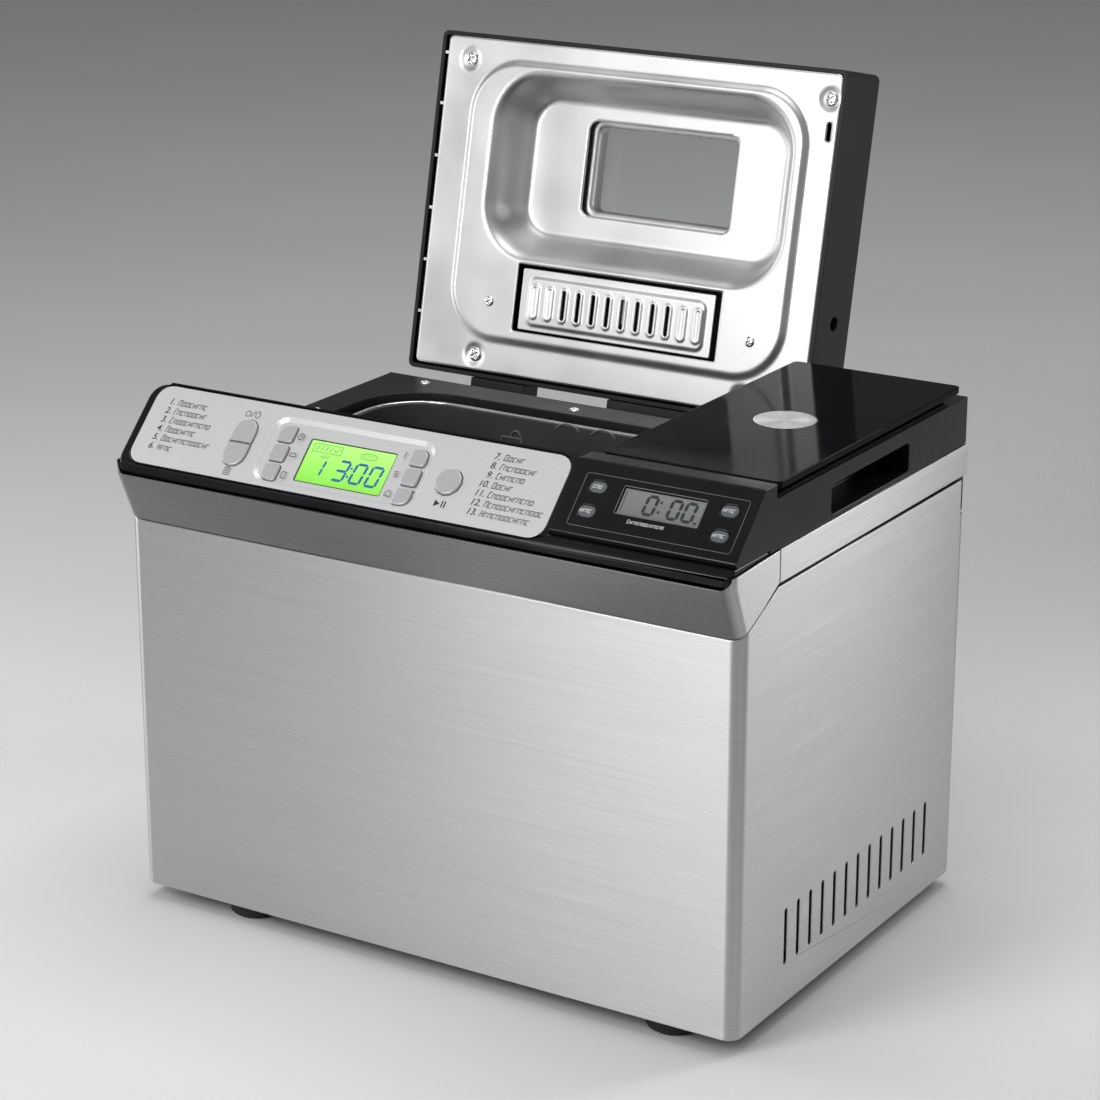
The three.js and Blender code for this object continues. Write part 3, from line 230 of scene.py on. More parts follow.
# A screen's colour runs from a darker bottom edge to a lighter top edge: the lighter top is painted light. A
# screen with a glow also gives off this colour, for the light behind it.
def display_glass(name, bottom, top, low_z, high_z, glow):
    material, tree, shader = start_finish(name, 0.18)
    place = tree.nodes.new("ShaderNodeTexCoord")
    axes = tree.nodes.new("ShaderNodeSeparateXYZ")
    height = tree.nodes.new("ShaderNodeMapRange")
    height.inputs["From Min"].default_value = low_z
    height.inputs["From Max"].default_value = high_z
    tree.links.new(place.outputs["Object"], axes.inputs[0])
    tree.links.new(axes.outputs["Z"], height.inputs["Value"])
    ramp = tint_by(tree, shader, height.outputs["Result"], bottom, top, 0.1, 1.0)
    if glow:
        tree.links.new(ramp.outputs["Color"], shader.inputs["Emission Color"])
        shader.inputs["Emission Strength"].default_value = glow
    return material


def clear_glass(name):
    material, tree, shader = start_finish(name, 0.02)
    shader.inputs["Base Color"].default_value = (0.97, 0.98, 0.98, 1)
    shader.inputs["Transmission Weight"].default_value = 1.0
    shader.inputs["IOR"].default_value = 1.45
    ripple = noise_field(tree, (40, 40, 40), 1.0)
    bump_by(tree, shader, ripple, 0.02, 0.02)
    return material


black_satin = moulded_plastic("black_satin", (0.014, 0.014, 0.015), 0.4)
black_gloss = moulded_plastic("black_gloss", (0.008, 0.008, 0.009), 0.2, 900, 0.03, 0.25)
lid_black = moulded_plastic("lid_black", (0.016, 0.016, 0.017), 0.42, gloss=0.2)
painted_glass = moulded_plastic("painted_glass", (0.004, 0.004, 0.005), 0.07, 60, 0.004, 0.05)
grey_key = moulded_plastic("grey_key", (0.09, 0.1, 0.105), 0.4)
rubber = moulded_plastic("rubber", (0.02, 0.02, 0.02), 0.75, 900, 0.3)
board_green = moulded_plastic("board_green", (0.03, 0.17, 0.07), 0.5, 300, 0.2)
plate_silver = silver_lacquer("plate_silver", (0.58, 0.58, 0.585), 0.4)
key_silver = silver_lacquer("key_silver", (0.46, 0.46, 0.465), 0.36)
non_stick = moulded_plastic("non_stick", (0.05, 0.05, 0.051), 0.4, 1800, 0.16)
# A lighter grey copy of the non-stick coating: a painted highlight along the pan's raised marks.
coating_painted_highlight = moulded_plastic("coating_painted_highlight", (0.13, 0.13, 0.132), 0.35, 1800, 0.16)
window_glass = clear_glass("window_glass")
print("plastics and glass:", black_satin.name, painted_glass.name, plate_silver.name)


# %% [markdown]
# The printed marks and the display's segments are thin films of ink or liquid crystal. They are
# modelled as thin flat shapes a twentieth of a millimetre above the face that carries them.

# %% Inks
def ink(name, colour, roughness=0.45):
    material, tree, shader = start_finish(name, roughness)
    speck = noise_field(tree, (2500, 2500, 2500), 1.0)
    tint_by(tree, shader, speck, *shades(colour, 0.12))
    return material


# Black ink for the printed marks. The same black also gives the painted shade of the deck's slots.
black_ink_and_shade = ink("black_ink_and_shade", (0.012, 0.012, 0.013))
white_ink = ink("white_ink", (0.7, 0.7, 0.7))
grey_ink = ink("grey_ink", (0.16, 0.16, 0.16))
blue_segment = ink("blue_segment", (0.02, 0.13, 0.36), 0.3)
faint_segment = ink("faint_segment", (0.14, 0.5, 0.12), 0.3)
# Dark segment colour, also used for the painted shade along the weight screen's left edge.
grey_segment_and_shade = ink("grey_segment_and_shade", (0.025, 0.027, 0.027), 0.3)
green_low, green_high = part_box("control_display")
grey_low, grey_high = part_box("scale_display")
green_screen = display_glass(
    "green_screen", (0.2, 0.62, 0.05), (0.42, 0.84, 0.2), green_low.z, green_high.z, 0.2)
# The grey screen has no glow, so its lighter top is painted light alone.
grey_screen = display_glass(
    "grey_screen", (0.15, 0.155, 0.15), (0.21, 0.22, 0.215), grey_low.z, grey_high.z, 0.0)


# %% [markdown]
# Every node of the frame now takes the finish of its material slot. Parts deep inside, such as the
# motor and the boards, keep their shape from the frame, since nobody sees their edges.

# %% Give every node its finish
finish_of_slot = {
    "steel": case_steel, "silver": plate_silver, "black": black_satin, "black_glass": painted_glass,
    "clear": window_glass, "green_display": green_screen, "grey_display": grey_screen,
    "grey": grey_key, "rubber": rubber, "liner": liner_metal, "non_stick": non_stick,
    "bright_steel": bright_metal, "sheet_steel": zinc_sheet, "alloy": alloy, "board": board_green,
}
for name, node in nodes.items():
    node.data.materials.clear()
    node.data.materials.append(finish_of_slot[slot_of_node[name]])
print("finished", len(nodes), "nodes")


# %% [markdown]
# Real edges are never sharp. Folded steel has a small radius, mouldings have a bigger one, and the
# bright line along a rounded edge is what makes an object look solid. The frame's meshes are plain
# triangles, so each visible part is copied, its flat triangles are merged back into whole faces, and
# a Bevel rounds every edge sharper than 28 degrees. Weighted normals then keep the flats flat.

# %% Round the edges of the visible parts
def settle(piece):
    """Applies a piece's modifiers, so that it is a plain mesh."""
    bpy.context.view_layer.update()
    made = bpy.data.meshes.new_from_object(piece.evaluated_get(bpy.context.evaluated_depsgraph_get()))
    piece.modifiers.clear()
    piece.data = made
    return piece


def soften(node, radius_mm, finish=None, steps=2, angle=28):
    shape = bmesh.new()
    shape.from_mesh(nodes[node].data)
    bmesh.ops.remove_doubles(shape, verts=shape.verts, dist=2e-6)
    bmesh.ops.dissolve_limit(
        shape, angle_limit=math.radians(0.6), verts=shape.verts, edges=shape.edges)
    for face in shape.faces:
        face.smooth = True
    mesh = bpy.data.meshes.new(node + "_shape")
    shape.to_mesh(mesh)
    shape.free()
    piece = bpy.data.objects.new(node + "_rounded", mesh)
    bpy.context.scene.collection.objects.link(piece)
    bevel = piece.modifiers.new("edges", "BEVEL")
    bevel.width = radius_mm * MM
    bevel.segments = steps
    bevel.limit_method = "ANGLE"
    bevel.angle_limit = math.radians(angle)
    bevel.use_clamp_overlap = False
    piece.modifiers.new("shading", "WEIGHTED_NORMAL").keep_sharp = True
    settle(piece)
    piece.data.materials.clear()
    piece.data.materials.append(finish or finish_of_slot[slot_of_node[node]])
    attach(piece, body_of_node[node])
    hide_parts(node)
    return piece


edge_radius = {
    "outer_wrap": 0.35, "front_band": 0.35, "side_trim": 0.3, "control_housing": 0.9,
    "control_plate": 0.25, "top_deck": 0.5, "lid_shell": 0.5, "scale_housing": 0.5,
    "scale_glass": 0.4, "scale_tray": 0.6, "bread_pan": 0.4, "kneading_paddle": 0.6,
    "hinge_arm_left": 0.6, "hinge_arm_right": 0.6, "base_pan": 0.6, "back_panel": 0.4,
    "control_display": 0.15, "scale_display": 0.15, "cord_inlet": 0.5, "pan_handle": 0.1,
    "oven_chamber": 0.2, "hinge_pin_left": 0.3, "hinge_pin_right": 0.3, "scale_disc": 0.05,
    "lid_window": 0.1,
}
special_finish = {
    "front_band": band_steel, "control_housing": black_gloss, "lid_shell": lid_black,
    "scale_housing": black_gloss, "top_deck": black_satin,
}
rounded_parts = {n: soften(n, r, special_finish.get(n)) for n, r in edge_radius.items()}
keys = [n for n in nodes if "key" in n]
for key in keys:
    soften(key, 0.22, grey_key if key.startswith("scale") else key_silver, 2)
for foot in (n for n in nodes if n.startswith("foot_")):
    soften(foot, 0.6)
print("rounded", len(rounded_parts) + len(keys) + 4, "parts")


# %% [markdown]
# The lid's inside is one pressing of bright sheet: a flat rim, a low raised field, and a deep well
# round the window. A pressing has no sharp corners anywhere, because metal can't fold that tightly.
# It could be modelled by hand with loops. Here it is a fine grid whose height is worked out from
# distances to rounded rectangles, as a die maker would dimension it, and every edge is rounded by
# averaging the slope over a short width. Holes are left out of the grid and their rims snapped true.

# %% Distances and rounded steps
def rounded_distance(u, v, box, corner):
    """Distance outside a rounded rectangle, negative inside it. All in millimetres."""
    (u0, u1), (v0, v1) = box
    du = np.abs(u - (u0 + u1) / 2) - (u1 - u0) / 2 + corner
    dv = np.abs(v - (v0 + v1) / 2) - (v1 - v0) / 2 + corner
    outside = np.hypot(np.maximum(du, 0), np.maximum(dv, 0))
    return outside + np.minimum(np.maximum(du, dv), 0) - corner


def rounded_step(distance, width, rounding):
    """Rises from 0 to 1 over a width, with both ends of the ramp rounded."""
    def area(t):
        return np.where(t < 0, 0, np.where(t < width, t * t / (2 * width), t - width / 2))
    return (area(distance + rounding) - area(distance - rounding)) / (2 * rounding)


def pressed_sheet(name, size, step, height, removed, place, thickness_mm, finish, body):
    """A pressed sheet, from a height in millimetres and a distance that is negative in its holes."""
    counts = [max(2, round(length / step)) for length in size]
    u, v = np.meshgrid(*[np.linspace(0, s, c + 1) for s, c in zip(size, counts)], indexing="ij")
    for _ in range(2):
        gap = removed(u, v)
        slope_u = (removed(u + 0.05, v) - removed(u - 0.05, v)) / 0.1
        slope_v = (removed(u, v + 0.05) - removed(u, v - 0.05)) / 0.1
        near = np.abs(gap) < step * 0.72
        u = np.where(near, u - gap * slope_u, u)
        v = np.where(near, v - gap * slope_v, v)
    gap = removed(u, v)
    keep = gap > -0.05 * step
    used, points = {}, []
    heights = height(u, v)
    faces = []
    for i in range(counts[0]):
        for j in range(counts[1]):
            corners = [(i, j), (i + 1, j), (i + 1, j + 1), (i, j + 1)]
            if not all(keep[c] for c in corners) or sum(gap[c] for c in corners) <= 0.01 * step:
                continue
            face = []
            for c in corners:
                if c not in used:
                    used[c] = len(points)
                    points.append(place(u[c], v[c], heights[c]))
                face.append(used[c])
            faces.append(face)
    mesh = bpy.data.meshes.new(name)
    mesh.from_pydata(points, [], faces)
    mesh.materials.append(finish)
    mesh.polygons.foreach_set("use_smooth", [True] * len(faces))
    piece = bpy.data.objects.new(name, mesh)
    bpy.context.scene.collection.objects.link(piece)
    if thickness_mm:
        solid = piece.modifiers.new("sheet", "SOLIDIFY")
        solid.thickness = thickness_mm * MM
        solid.offset = -1
        solid.use_even_offset = True
        settle(piece)
    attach(piece, body)
    print(name, len(faces), "faces")
    return piece


# %% [markdown]
# The lid stands open in the frame. To work on it as if it lay flat, the hinge joint is read from the
# frame, and its closing turn is undone for every point. Points on the liner are given as u from its
# left edge, v up from its hinge edge, and out towards the pan, all in millimetres.

# %% The lid's own coordinates
lid_joint = next(j for j in frame["joints"] if j["name"] == "lid_hinge")
hinge_point = Vector(lid_joint["pos_m"])
closing = (Matrix.Translation(hinge_point)
           @ Matrix.Rotation(math.radians(lid_joint["range_deg"][0]), 4, Vector(lid_joint["axis"]))
           @ Matrix.Translation(-hinge_point))
opening = closing.inverted()
liner_points = np.array([closing @ v.co for v in nodes["lid_liner"].data.vertices])
liner_low, liner_high = liner_points.min(0), liner_points.max(0)
raised = 2.5
flat_z = liner_low[2] + raised * MM
liner_size = ((liner_high[0] - liner_low[0]) / MM, (liner_high[1] - liner_low[1]) / MM)


def lid_point(u, v, out):
    closed = Vector((liner_low[0] + u * MM, liner_high[1] - v * MM, flat_z - out * MM))
    return opening @ closed


print("liner", [round(s, 1) for s in liner_size], "mm")

# %% Press the liner
field = ((18, 229), (16.5, 172.1))
well = ((37.2, 218.7), (66.5, 164.5))
window_cut = ((83.1, 176.2), (92.0, 143.5))
flap_cut = ((62.0, 189.4), (25.0, 62.0))
long_slot = ((237.2, 239.8), (146.6, 156.6))
cups = [(14.7, 169.7), (236.9, 168.6), (37.7, 8.5), (205.3, 8.5)]
well_depth = 24
cup_depth, cup_radius = 1.5, 6.6


def liner_height(u, v):
    h = raised * rounded_step(-rounded_distance(u, v, field, 31) - 0.9, 2.2, 1.1)
    h = h - well_depth * rounded_step(-rounded_distance(u, v, well, 28), 10.0, 3.6)
    for cu, cv in cups:
        h = h - cup_depth * rounded_step(cup_radius - np.hypot(u - cu, v - cv), 2.2, 0.9)
    return h


def liner_removed(u, v):
    rim = -rounded_distance(u, v, ((0, liner_size[0]), (0, liner_size[1])), 2.5)
    holes = [(window_cut, 5), (flap_cut, 0.8), (long_slot, 1.25)]
    return np.minimum.reduce([rim, *[rounded_distance(u, v, box, corner) for box, corner in holes]])


liner = pressed_sheet("liner_pressing", liner_size, 1.2, liner_height, liner_removed, lid_point, 0.8,
                      liner_metal, "lid")
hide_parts("lid_liner")

# %% [markdown]
# The flap over the steam outlet is a smaller pressing. It has a raised field with twelve long beads,
# and the eight beads in the middle are pierced. Its grid is finer, since the beads are 5 mm wide.

# %% Press the steam flap
flap_corner = (65.6, 26.3)
flap_size = (120.2, 33.7)
first_bead, bead_pitch, bead_ends = 75.2, 9.27, (35.5, 49.5)
beads = [(first_bead + bead_pitch * i, *bead_ends) for i in range(12)]


def bead_distance(u, v, bead):
    centre, low, high = bead
    return np.hypot(u - centre, v - np.clip(v, low, high))


def flap_height(fu, fv):
    u, v = fu + flap_corner[0], fv + flap_corner[1]
    h = raised + 1.1 * rounded_step(-rounded_distance(u, v, ((70.0, 181.5), (28.9, 56.2)), 5), 1.2, 0.7)
    for bead in beads:
        from_line = bead_distance(u, v, bead)
        h = h + 0.8 * rounded_step(2.9 - from_line, 1.0, 0.5)
        h = h - 0.5 * rounded_step(1.5 - from_line, 0.5, 0.4)
    return h


def flap_removed(fu, fv):
    u, v = fu + flap_corner[0], fv + flap_corner[1]
    rim = -rounded_distance(fu, fv, ((0, flap_size[0]), (0, flap_size[1])), 1)
    pierced = [bead_distance(u, v, bead) - 0.95 for bead in beads[2:-2]]
    return np.minimum.reduce([rim, *pierced])


flap = pressed_sheet("flap_pressing", flap_size, 0.55, flap_height, flap_removed,
                     lambda u, v, h: lid_point(u + flap_corner[0], v + flap_corner[1], h), 0.7,
                     liner_metal, "flap")
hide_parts("steam_flap")


# %% [markdown]
# Cross-head screws hold the liner and the deck. Each head is a low dome with a cross pressed into
# it. A dome and a cross are again simple heights, so the same pressing tool makes the screws.

# %% Screws
def screw(name, place, radius, finish, body, dome=0.9):
    def head(u, v):
        x, y = u - radius, v - radius
        turned = (x * 0.82 + y * 0.57, y * 0.82 - x * 0.57)
        dish = dome * np.sqrt(np.clip(1 - (np.hypot(x, y) / radius) ** 2, 0, 1))
        arm = [np.maximum(np.abs(a) - radius * 0.62, np.abs(b) - radius * 0.14)
               for a, b in (turned, turned[::-1])]
        return dish - 0.8 * dome * rounded_step(-np.minimum(*arm), 0.25, 0.12)

    def beyond(u, v):
        return radius - np.hypot(u - radius, v - radius)

    return pressed_sheet(name, (2 * radius, 2 * radius), radius / 11, head, beyond,
                         lambda u, v, h: place(u - radius, v - radius, h), 0, finish, body)


for number, (cu, cv) in enumerate(cups):
    screw(f"liner_screw_{number}", lambda u, v, h, cu=cu, cv=cv: lid_point(cu + u, cv + v, h - 1.3),
          4.0, bright_metal, "lid", 1.2)
for number, (cu, cv) in enumerate([(45.3, 39.1), (208.7, 38.4)]):
    screw(f"flap_screw_{number}", lambda u, v, h, cu=cu, cv=cv: lid_point(cu + u, cv + v, h + raised),
          2.9, bright_metal, "lid", 1.0)
deck_low, deck_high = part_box("top_deck")
case_low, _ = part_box("outer_wrap")
deck_screws = [(11.5, 144.8), (30.5, 220.2), (128.9, 217.2), (219.0, 217.2)]
for number, (cu, cv) in enumerate(deck_screws):
    screw(f"deck_screw_{number}",
          lambda u, v, h, cu=cu, cv=cv: Vector((
              case_low.x + (cu + u) * MM, case_low.y + (cv + v) * MM, deck_high.z + h * MM)),
          2.9, bright_metal, "case", 0.7)


# %% [markdown]
# Flat marks, such as printed figures, icons and display segments, are all made by one helper: it
# takes outlines in the plane of a face and lays them just above it. Lines are drawn as ribbons.

# %% Flat marks
def add_piece(name, mesh, body):
    piece = bpy.data.objects.new(name, mesh)
    bpy.context.scene.collection.objects.link(piece)
    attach(piece, body)
    return piece


def flat_marks(name, outlines, place, finish, body, lift=0.05):
    points, faces = [], []
    for outline in outlines:
        faces.append(list(range(len(points), len(points) + len(outline))))
        points += [place(x, y, lift) for x, y in outline]
    mesh = bpy.data.meshes.new(name)
    mesh.from_pydata(points, [], faces)
    mesh.materials.append(finish)
    return add_piece(name, mesh, body)


def ribbon(points, width, closed=False):
    """Outlines of a line of one width through the points."""
    pairs = list(zip(points, points[1:] + points[:1])) if closed else list(zip(points, points[1:]))
    made = []
    for (x0, y0), (x1, y1) in pairs:
        length = math.hypot(x1 - x0, y1 - y0) or 1e-9
        nx, ny = -(y1 - y0) / length * width / 2, (x1 - x0) / length * width / 2
        ex, ey = (x1 - x0) / length * width * 0.3, (y1 - y0) / length * width * 0.3
        made.append([(x0 - ex - nx, y0 - ey - ny), (x1 + ex - nx, y1 + ey - ny),
                     (x1 + ex + nx, y1 + ey + ny), (x0 - ex + nx, y0 - ey + ny)])
    return made


def arc(cx, cy, rx, ry, start, end, count=14):
    angles = np.radians(np.linspace(start, end, count))
    return [(cx + rx * math.cos(a), cy + ry * math.sin(a)) for a in angles]


def rounded_outline(box, corner, count=6):
    (x0, x1), (y0, y1) = box
    return [p for cx, cy, start in (
        (x0 + corner, y0 + corner, 180), (x1 - corner, y0 + corner, 270),
        (x1 - corner, y1 - corner, 0), (x0 + corner, y1 - corner, 90))
        for p in arc(cx, cy, corner, corner, start, start + 90, count)]


# %% [markdown]
# The controls lie on a face that slopes at 45 degrees. The frame's plate gives where that slope is:
# its front edge is the lowest y of the plate, and its top edge is the highest z.
# Points on it are x from the plate's left end, s up the slope from its lower edge, and h above it.

# %% The slope's own coordinates
plate_low, plate_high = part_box("control_plate")
plate_thickness = 2.6
half = math.sqrt(0.5)
plate_length = (plate_high.y - plate_low.y) / MM / half - plate_thickness
slope_start = Vector((plate_low.x, plate_low.y, plate_high.z - plate_length * half * MM))


def slope_point(x, s, h):
    return slope_start + Vector((x, (s - h) * half, (s + h) * half)) * MM


print("plate", round((plate_high.x - plate_low.x) / MM, 1), "x", round(plate_length, 1), "mm")


# %% [markdown]
# A seven-segment figure is drawn with pointed bars that lean a little, as on a real display. The
# figures here say programme 1 and three hours, which are settings and not a name.

# %% Display figures
SEGMENTS = {"0": "abcdef", "1": "bc", "2": "abged", "3": "abgcd", "5": "afgcd", "8": "abcdefg"}


def segment_figure(figure, x, s, width, height, stroke, lean=0.12):
    t, g = stroke / 2, stroke * 0.12
    mid = height / 2

    def level(y):
        return [(t + g, y), (t * 2 + g, y + t), (width - t * 2 - g, y + t), (width - t - g, y),
                (width - t * 2 - g, y - t), (t * 2 + g, y - t)]

    def post(px, y0, y1):
        return [(px, y0 + g), (px + t, y0 + t + g), (px + t, y1 - t - g), (px, y1 - g),
                (px - t, y1 - t - g), (px - t, y0 + t + g)]
    shapes = {
        "a": level(height - t), "g": level(mid), "d": level(t),
        "f": post(t, mid, height - t), "b": post(width - t, mid, height - t),
        "e": post(t, t, mid), "c": post(width - t, t, mid),
    }
    return [[(x + px + py * lean, s + py) for px, py in shapes[name]] for name in SEGMENTS[figure]]


def square(x, s, half_side):
    return [(x - half_side, s - half_side), (x + half_side, s - half_side),
            (x + half_side, s + half_side), (x - half_side, s + half_side)]


screen_left = (green_low.x - plate_low.x) / MM + 2
screen_right = (green_high.x - plate_low.x) / MM - 2
screen_s = (6.7, 30.6)
screen_depth = -1.75


def screen_point(x, s, h):
    return slope_point(x, s, h + screen_depth)


figures = segment_figure("1", screen_left + 8.0, 11.2, 5.0, 9.6, 1.1)
for figure, x in (("3", 19.5), ("0", 29.4), ("0", 38.6)):
    figures += segment_figure(figure, screen_left + x, 10.4, 7.2, 11.8, 1.3)
figures += [square(screen_left + 28.4, 14.0, 0.55), square(screen_left + 28.9, 18.6, 0.55)]
flat_marks("time_figures", figures, screen_point, blue_segment, "case")
loaf = arc(screen_left + 35.5, 26.2, 4.6, 1.7, 0, 360, 24)
loaf_cuts = [[(screen_left + 32.9 + i * 2.1, 25.8), (screen_left + 33.7 + i * 2.1, 27.2)] for i in range(3)]
sign_line = 0.35
small_signs = ribbon(loaf, sign_line, True) + [r for cut in loaf_cuts for r in ribbon(cut, sign_line)]
flag = [(screen_left + 3.0, 24.2), (screen_left + 19.5, 24.2), (screen_left + 19.5, 28.6),
        (screen_left + 3.0, 28.6)]
small_signs += ribbon(flag, sign_line, True)
small_signs += [r for i in range(4) for r in ribbon(
    [(screen_left + 5 + 2.6 * i, 25.3), (screen_left + 6.2 + 2.6 * i, 27.5)], 0.45)]
tick = [(screen_left + 15.2, 26.6), (screen_left + 16.2, 25.5), (screen_left + 18.2, 27.7)]
small_signs += ribbon(tick, 0.4)
small_signs += [r for i in range(3) for r in ribbon(
    [(screen_left + 9.5 + 1.7 * i, 21.2), (screen_left + 9.9 + 1.7 * i, 22.8)], 0.45)]
flat_marks("screen_signs", small_signs, screen_point, faint_segment, "case")
surround_box = ((screen_left + 0.3, screen_right - 0.3), (screen_s[0] + 0.3, screen_s[1] - 0.3))
surround = ribbon(rounded_outline(surround_box, 0.6), 0.5, True)
flat_marks("screen_surround", surround, screen_point, grey_segment_and_shade, "case", 0.07)


# %% [markdown]
# Beside the keys are small pictures, and at each end a numbered list of programmes. The figures of
# the list are real text turned into mesh. The words are rows of letter-like strokes that spell
# nothing, since no wording belongs on a generic part. The numbers make the face read as printed.

# %% Printed lists
def number_mesh(text, size_mm, shear=0.2, weight=0.05):
    curve = bpy.data.curves.new("figure", "FONT")
    curve.body = text
    curve.size = size_mm
    curve.shear = shear
    curve.offset = weight
    helper = bpy.data.objects.new("figure", curve)
    bpy.context.scene.collection.objects.link(helper)
    bpy.context.view_layer.update()
    mesh = bpy.data.meshes.new_from_object(helper.evaluated_get(bpy.context.evaluated_depsgraph_get()))
    outlines = [[(mesh.vertices[i].co.x, mesh.vertices[i].co.y) for i in face.vertices]
                for face in mesh.polygons]
    bpy.data.objects.remove(helper)
    bpy.data.curves.remove(curve)
    bpy.data.meshes.remove(mesh)
    return outlines


def moved(outlines, x, s):
    return [[(px + x, py + s) for px, py in outline] for outline in outlines]


LETTERS = {
    "n": (2.4, [[(0, 0), (0, 1), (0.62, 1), (0.62, 0)]]),
    "o": (2.4, [[(0, 0), (0, 1), (0.62, 1), (0.62, 0), (0, 0)]]),
    "r": (1.9, [[(0, 0), (0, 1), (0.46, 1)]]),
    "c": (2.2, [[(0.54, 1), (0, 1), (0, 0), (0.54, 0)]]),
    "h": (2.4, [[(0, 0), (0, 1)], [(0, 0.5), (0.62, 0.5)], [(0.62, 0), (0.62, 1)]]),
}


def letter_row(x, s, letters, height=2.3, stroke=0.4, first=1.35):
    """A row of letter-like strokes that spell nothing, the first one taller, standing for a word."""
    made, scale = [], height / 2.3
    for i in range(letters):
        advance, lines = LETTERS["nrochonc"[(i * 5 + letters) % 8]]
        tall = height * (first if i == 0 else 1)
        for line in lines:
            leaning = [(x + 2.4 * px * scale + 0.2 * tall * py, s + tall * py) for px, py in line]
            made += ribbon(leaning, stroke)
        x += advance * scale
    return made


def printed_list(name, first, letters, x, top, pitch, lean):
    outlines = []
    for i, count in enumerate(letters):
        s = top - i * pitch
        left = x + lean * i
        outlines += moved(number_mesh(f"{first + i}.", 4.9), left - (0 if first + i < 10 else 2.2), s)
        outlines += letter_row(left + 5.6, s, count)
    return flat_marks(name, outlines, slope_point, black_ink_and_shade, "case")


printed_list("programme_list_left", 1, [8, 9, 11, 8, 13, 4], 9.0, 34.3, 5.1, 0.0)
printed_list("programme_list_right", 7, [5, 9, 7, 5, 11, 14, 12], 200.5, 36.3, 5.05, 0.0)

# %% Small pictures beside the keys
width_line = 0.36
plate_left = plate_low.x / MM


def key_spot(node):
    low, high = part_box(node)
    middle = (low + high) / 2
    s = ((middle.y - slope_start.y) + (middle.z - slope_start.z)) / MM * half
    return middle.x / MM - plate_left, s


pictures = []
kx, ks = key_spot("left_key_top")
clock_x, clock_s = kx + 8.7, ks - 0.5
pictures += ribbon(arc(clock_x, clock_s, 1.7, 1.7, 0, 345, 18), width_line, True)
pictures += ribbon([(clock_x, clock_s + 1.1), (clock_x, clock_s), (clock_x + 0.9, clock_s)], width_line)
kx, ks = key_spot("left_key_middle")
pictures += ribbon(arc(kx + 8.7, ks, 1.9, 1.1, 0, 180, 9) + [(kx + 6.8, ks - 0.8), (kx + 10.6, ks - 0.8)],
                   width_line, True)
kx, ks = key_spot("left_key_bottom")
pictures += ribbon(rounded_outline(((kx + 7.3, kx + 9.9), (ks - 2.2, ks + 1.2)), 0.5, 3), width_line, True)
kx, ks = key_spot("right_key_top")
wheat = [(kx - 7.7, ks - 1.8), (kx - 8.1, ks), (kx - 7.4, ks + 0.2), (kx - 7.8, ks + 1.9)]
pictures += ribbon(wheat, width_line)
kx, ks = key_spot("right_key_middle")
for row in (-1.2, 0, 1.2):
    wave = [(kx - 9.4, ks + row), (kx - 8.6, ks + row + 0.4), (kx - 7.9, ks + row),
            (kx - 7.1, ks + row + 0.4)]
    pictures += ribbon(wave, width_line)
kx, ks = key_spot("right_key_bottom")
bell = arc(kx - 8.0, ks, 1.6, 1.9, 0, 180, 9)
pictures += ribbon(bell + [(kx - 9.6, ks - 1.2), (kx - 6.4, ks - 1.2)], width_line, True)
kx, ks = key_spot("select_key_up")
pictures += ribbon(arc(kx - 3.2, ks + 9.4, 1.5, 1.5, 0, 345, 12), width_line, True)
pictures += ribbon([(kx - 1.0, ks + 8.0), (kx + 0.6, ks + 11.4)], width_line)
pictures += ribbon(arc(kx + 2.6, ks + 9.6, 1.3, 1.8, 0, 345, 12), width_line, True)
kx, ks = key_spot("select_key_down")
pictures += ribbon(rounded_outline(((kx - 1.7, kx + 1.7), (ks - 11.4, ks - 7.6)), 0.4, 3), width_line, True)
for row in (-10.4, -9.5, -8.6):
    pictures += ribbon([(kx - 1.0, ks + row), (kx + 1.0, ks + row)], width_line)
kx, ks = key_spot("start_key")
pictures += [[(kx - 2.9, ks - 13.6), (kx + 0.1, ks - 11.8), (kx - 2.9, ks - 10.0)]]
pictures += ribbon([(kx + 1.4, ks - 13.4), (kx + 1.4, ks - 10.2)], 0.7)
pictures += ribbon([(kx + 2.9, ks - 13.4), (kx + 2.9, ks - 10.2)], 0.7)
flat_marks("key_pictures", pictures, slope_point, black_ink_and_shade, "case")


# %% [markdown]
# The scale's own panel stands 2.5 mm proud of the control slope. Its display shows zeros, and four
# oval keys stand round it inside a thin printed frame.

# %% Scale panel marks
panel_lift = 2.5
grey_sink = 0.75
key_proud = 0.5


def panel_point(x, s, h):
    return slope_point(x, s, h + panel_lift)


grey_left = (grey_low.x - plate_low.x) / MM + 2
grey_right = (grey_high.x - plate_low.x) / MM - 2
panel_s = (19.5, 33.2)
zeros_and_edge_shade = [f for x in (12.2, 24.8, 32.4) for f in segment_figure(
    "0", grey_left + x, panel_s[0] + 1.3, 6.4, 10.8, 1.5, 0.06)]
zeros_and_edge_shade += [square(grey_left + 20.6, panel_s[0] + dot, 0.55) for dot in (4.2, 9.2)]
zeros_and_edge_shade += [square(grey_left + 40.4, panel_s[0] + 1.9, 0.6)]
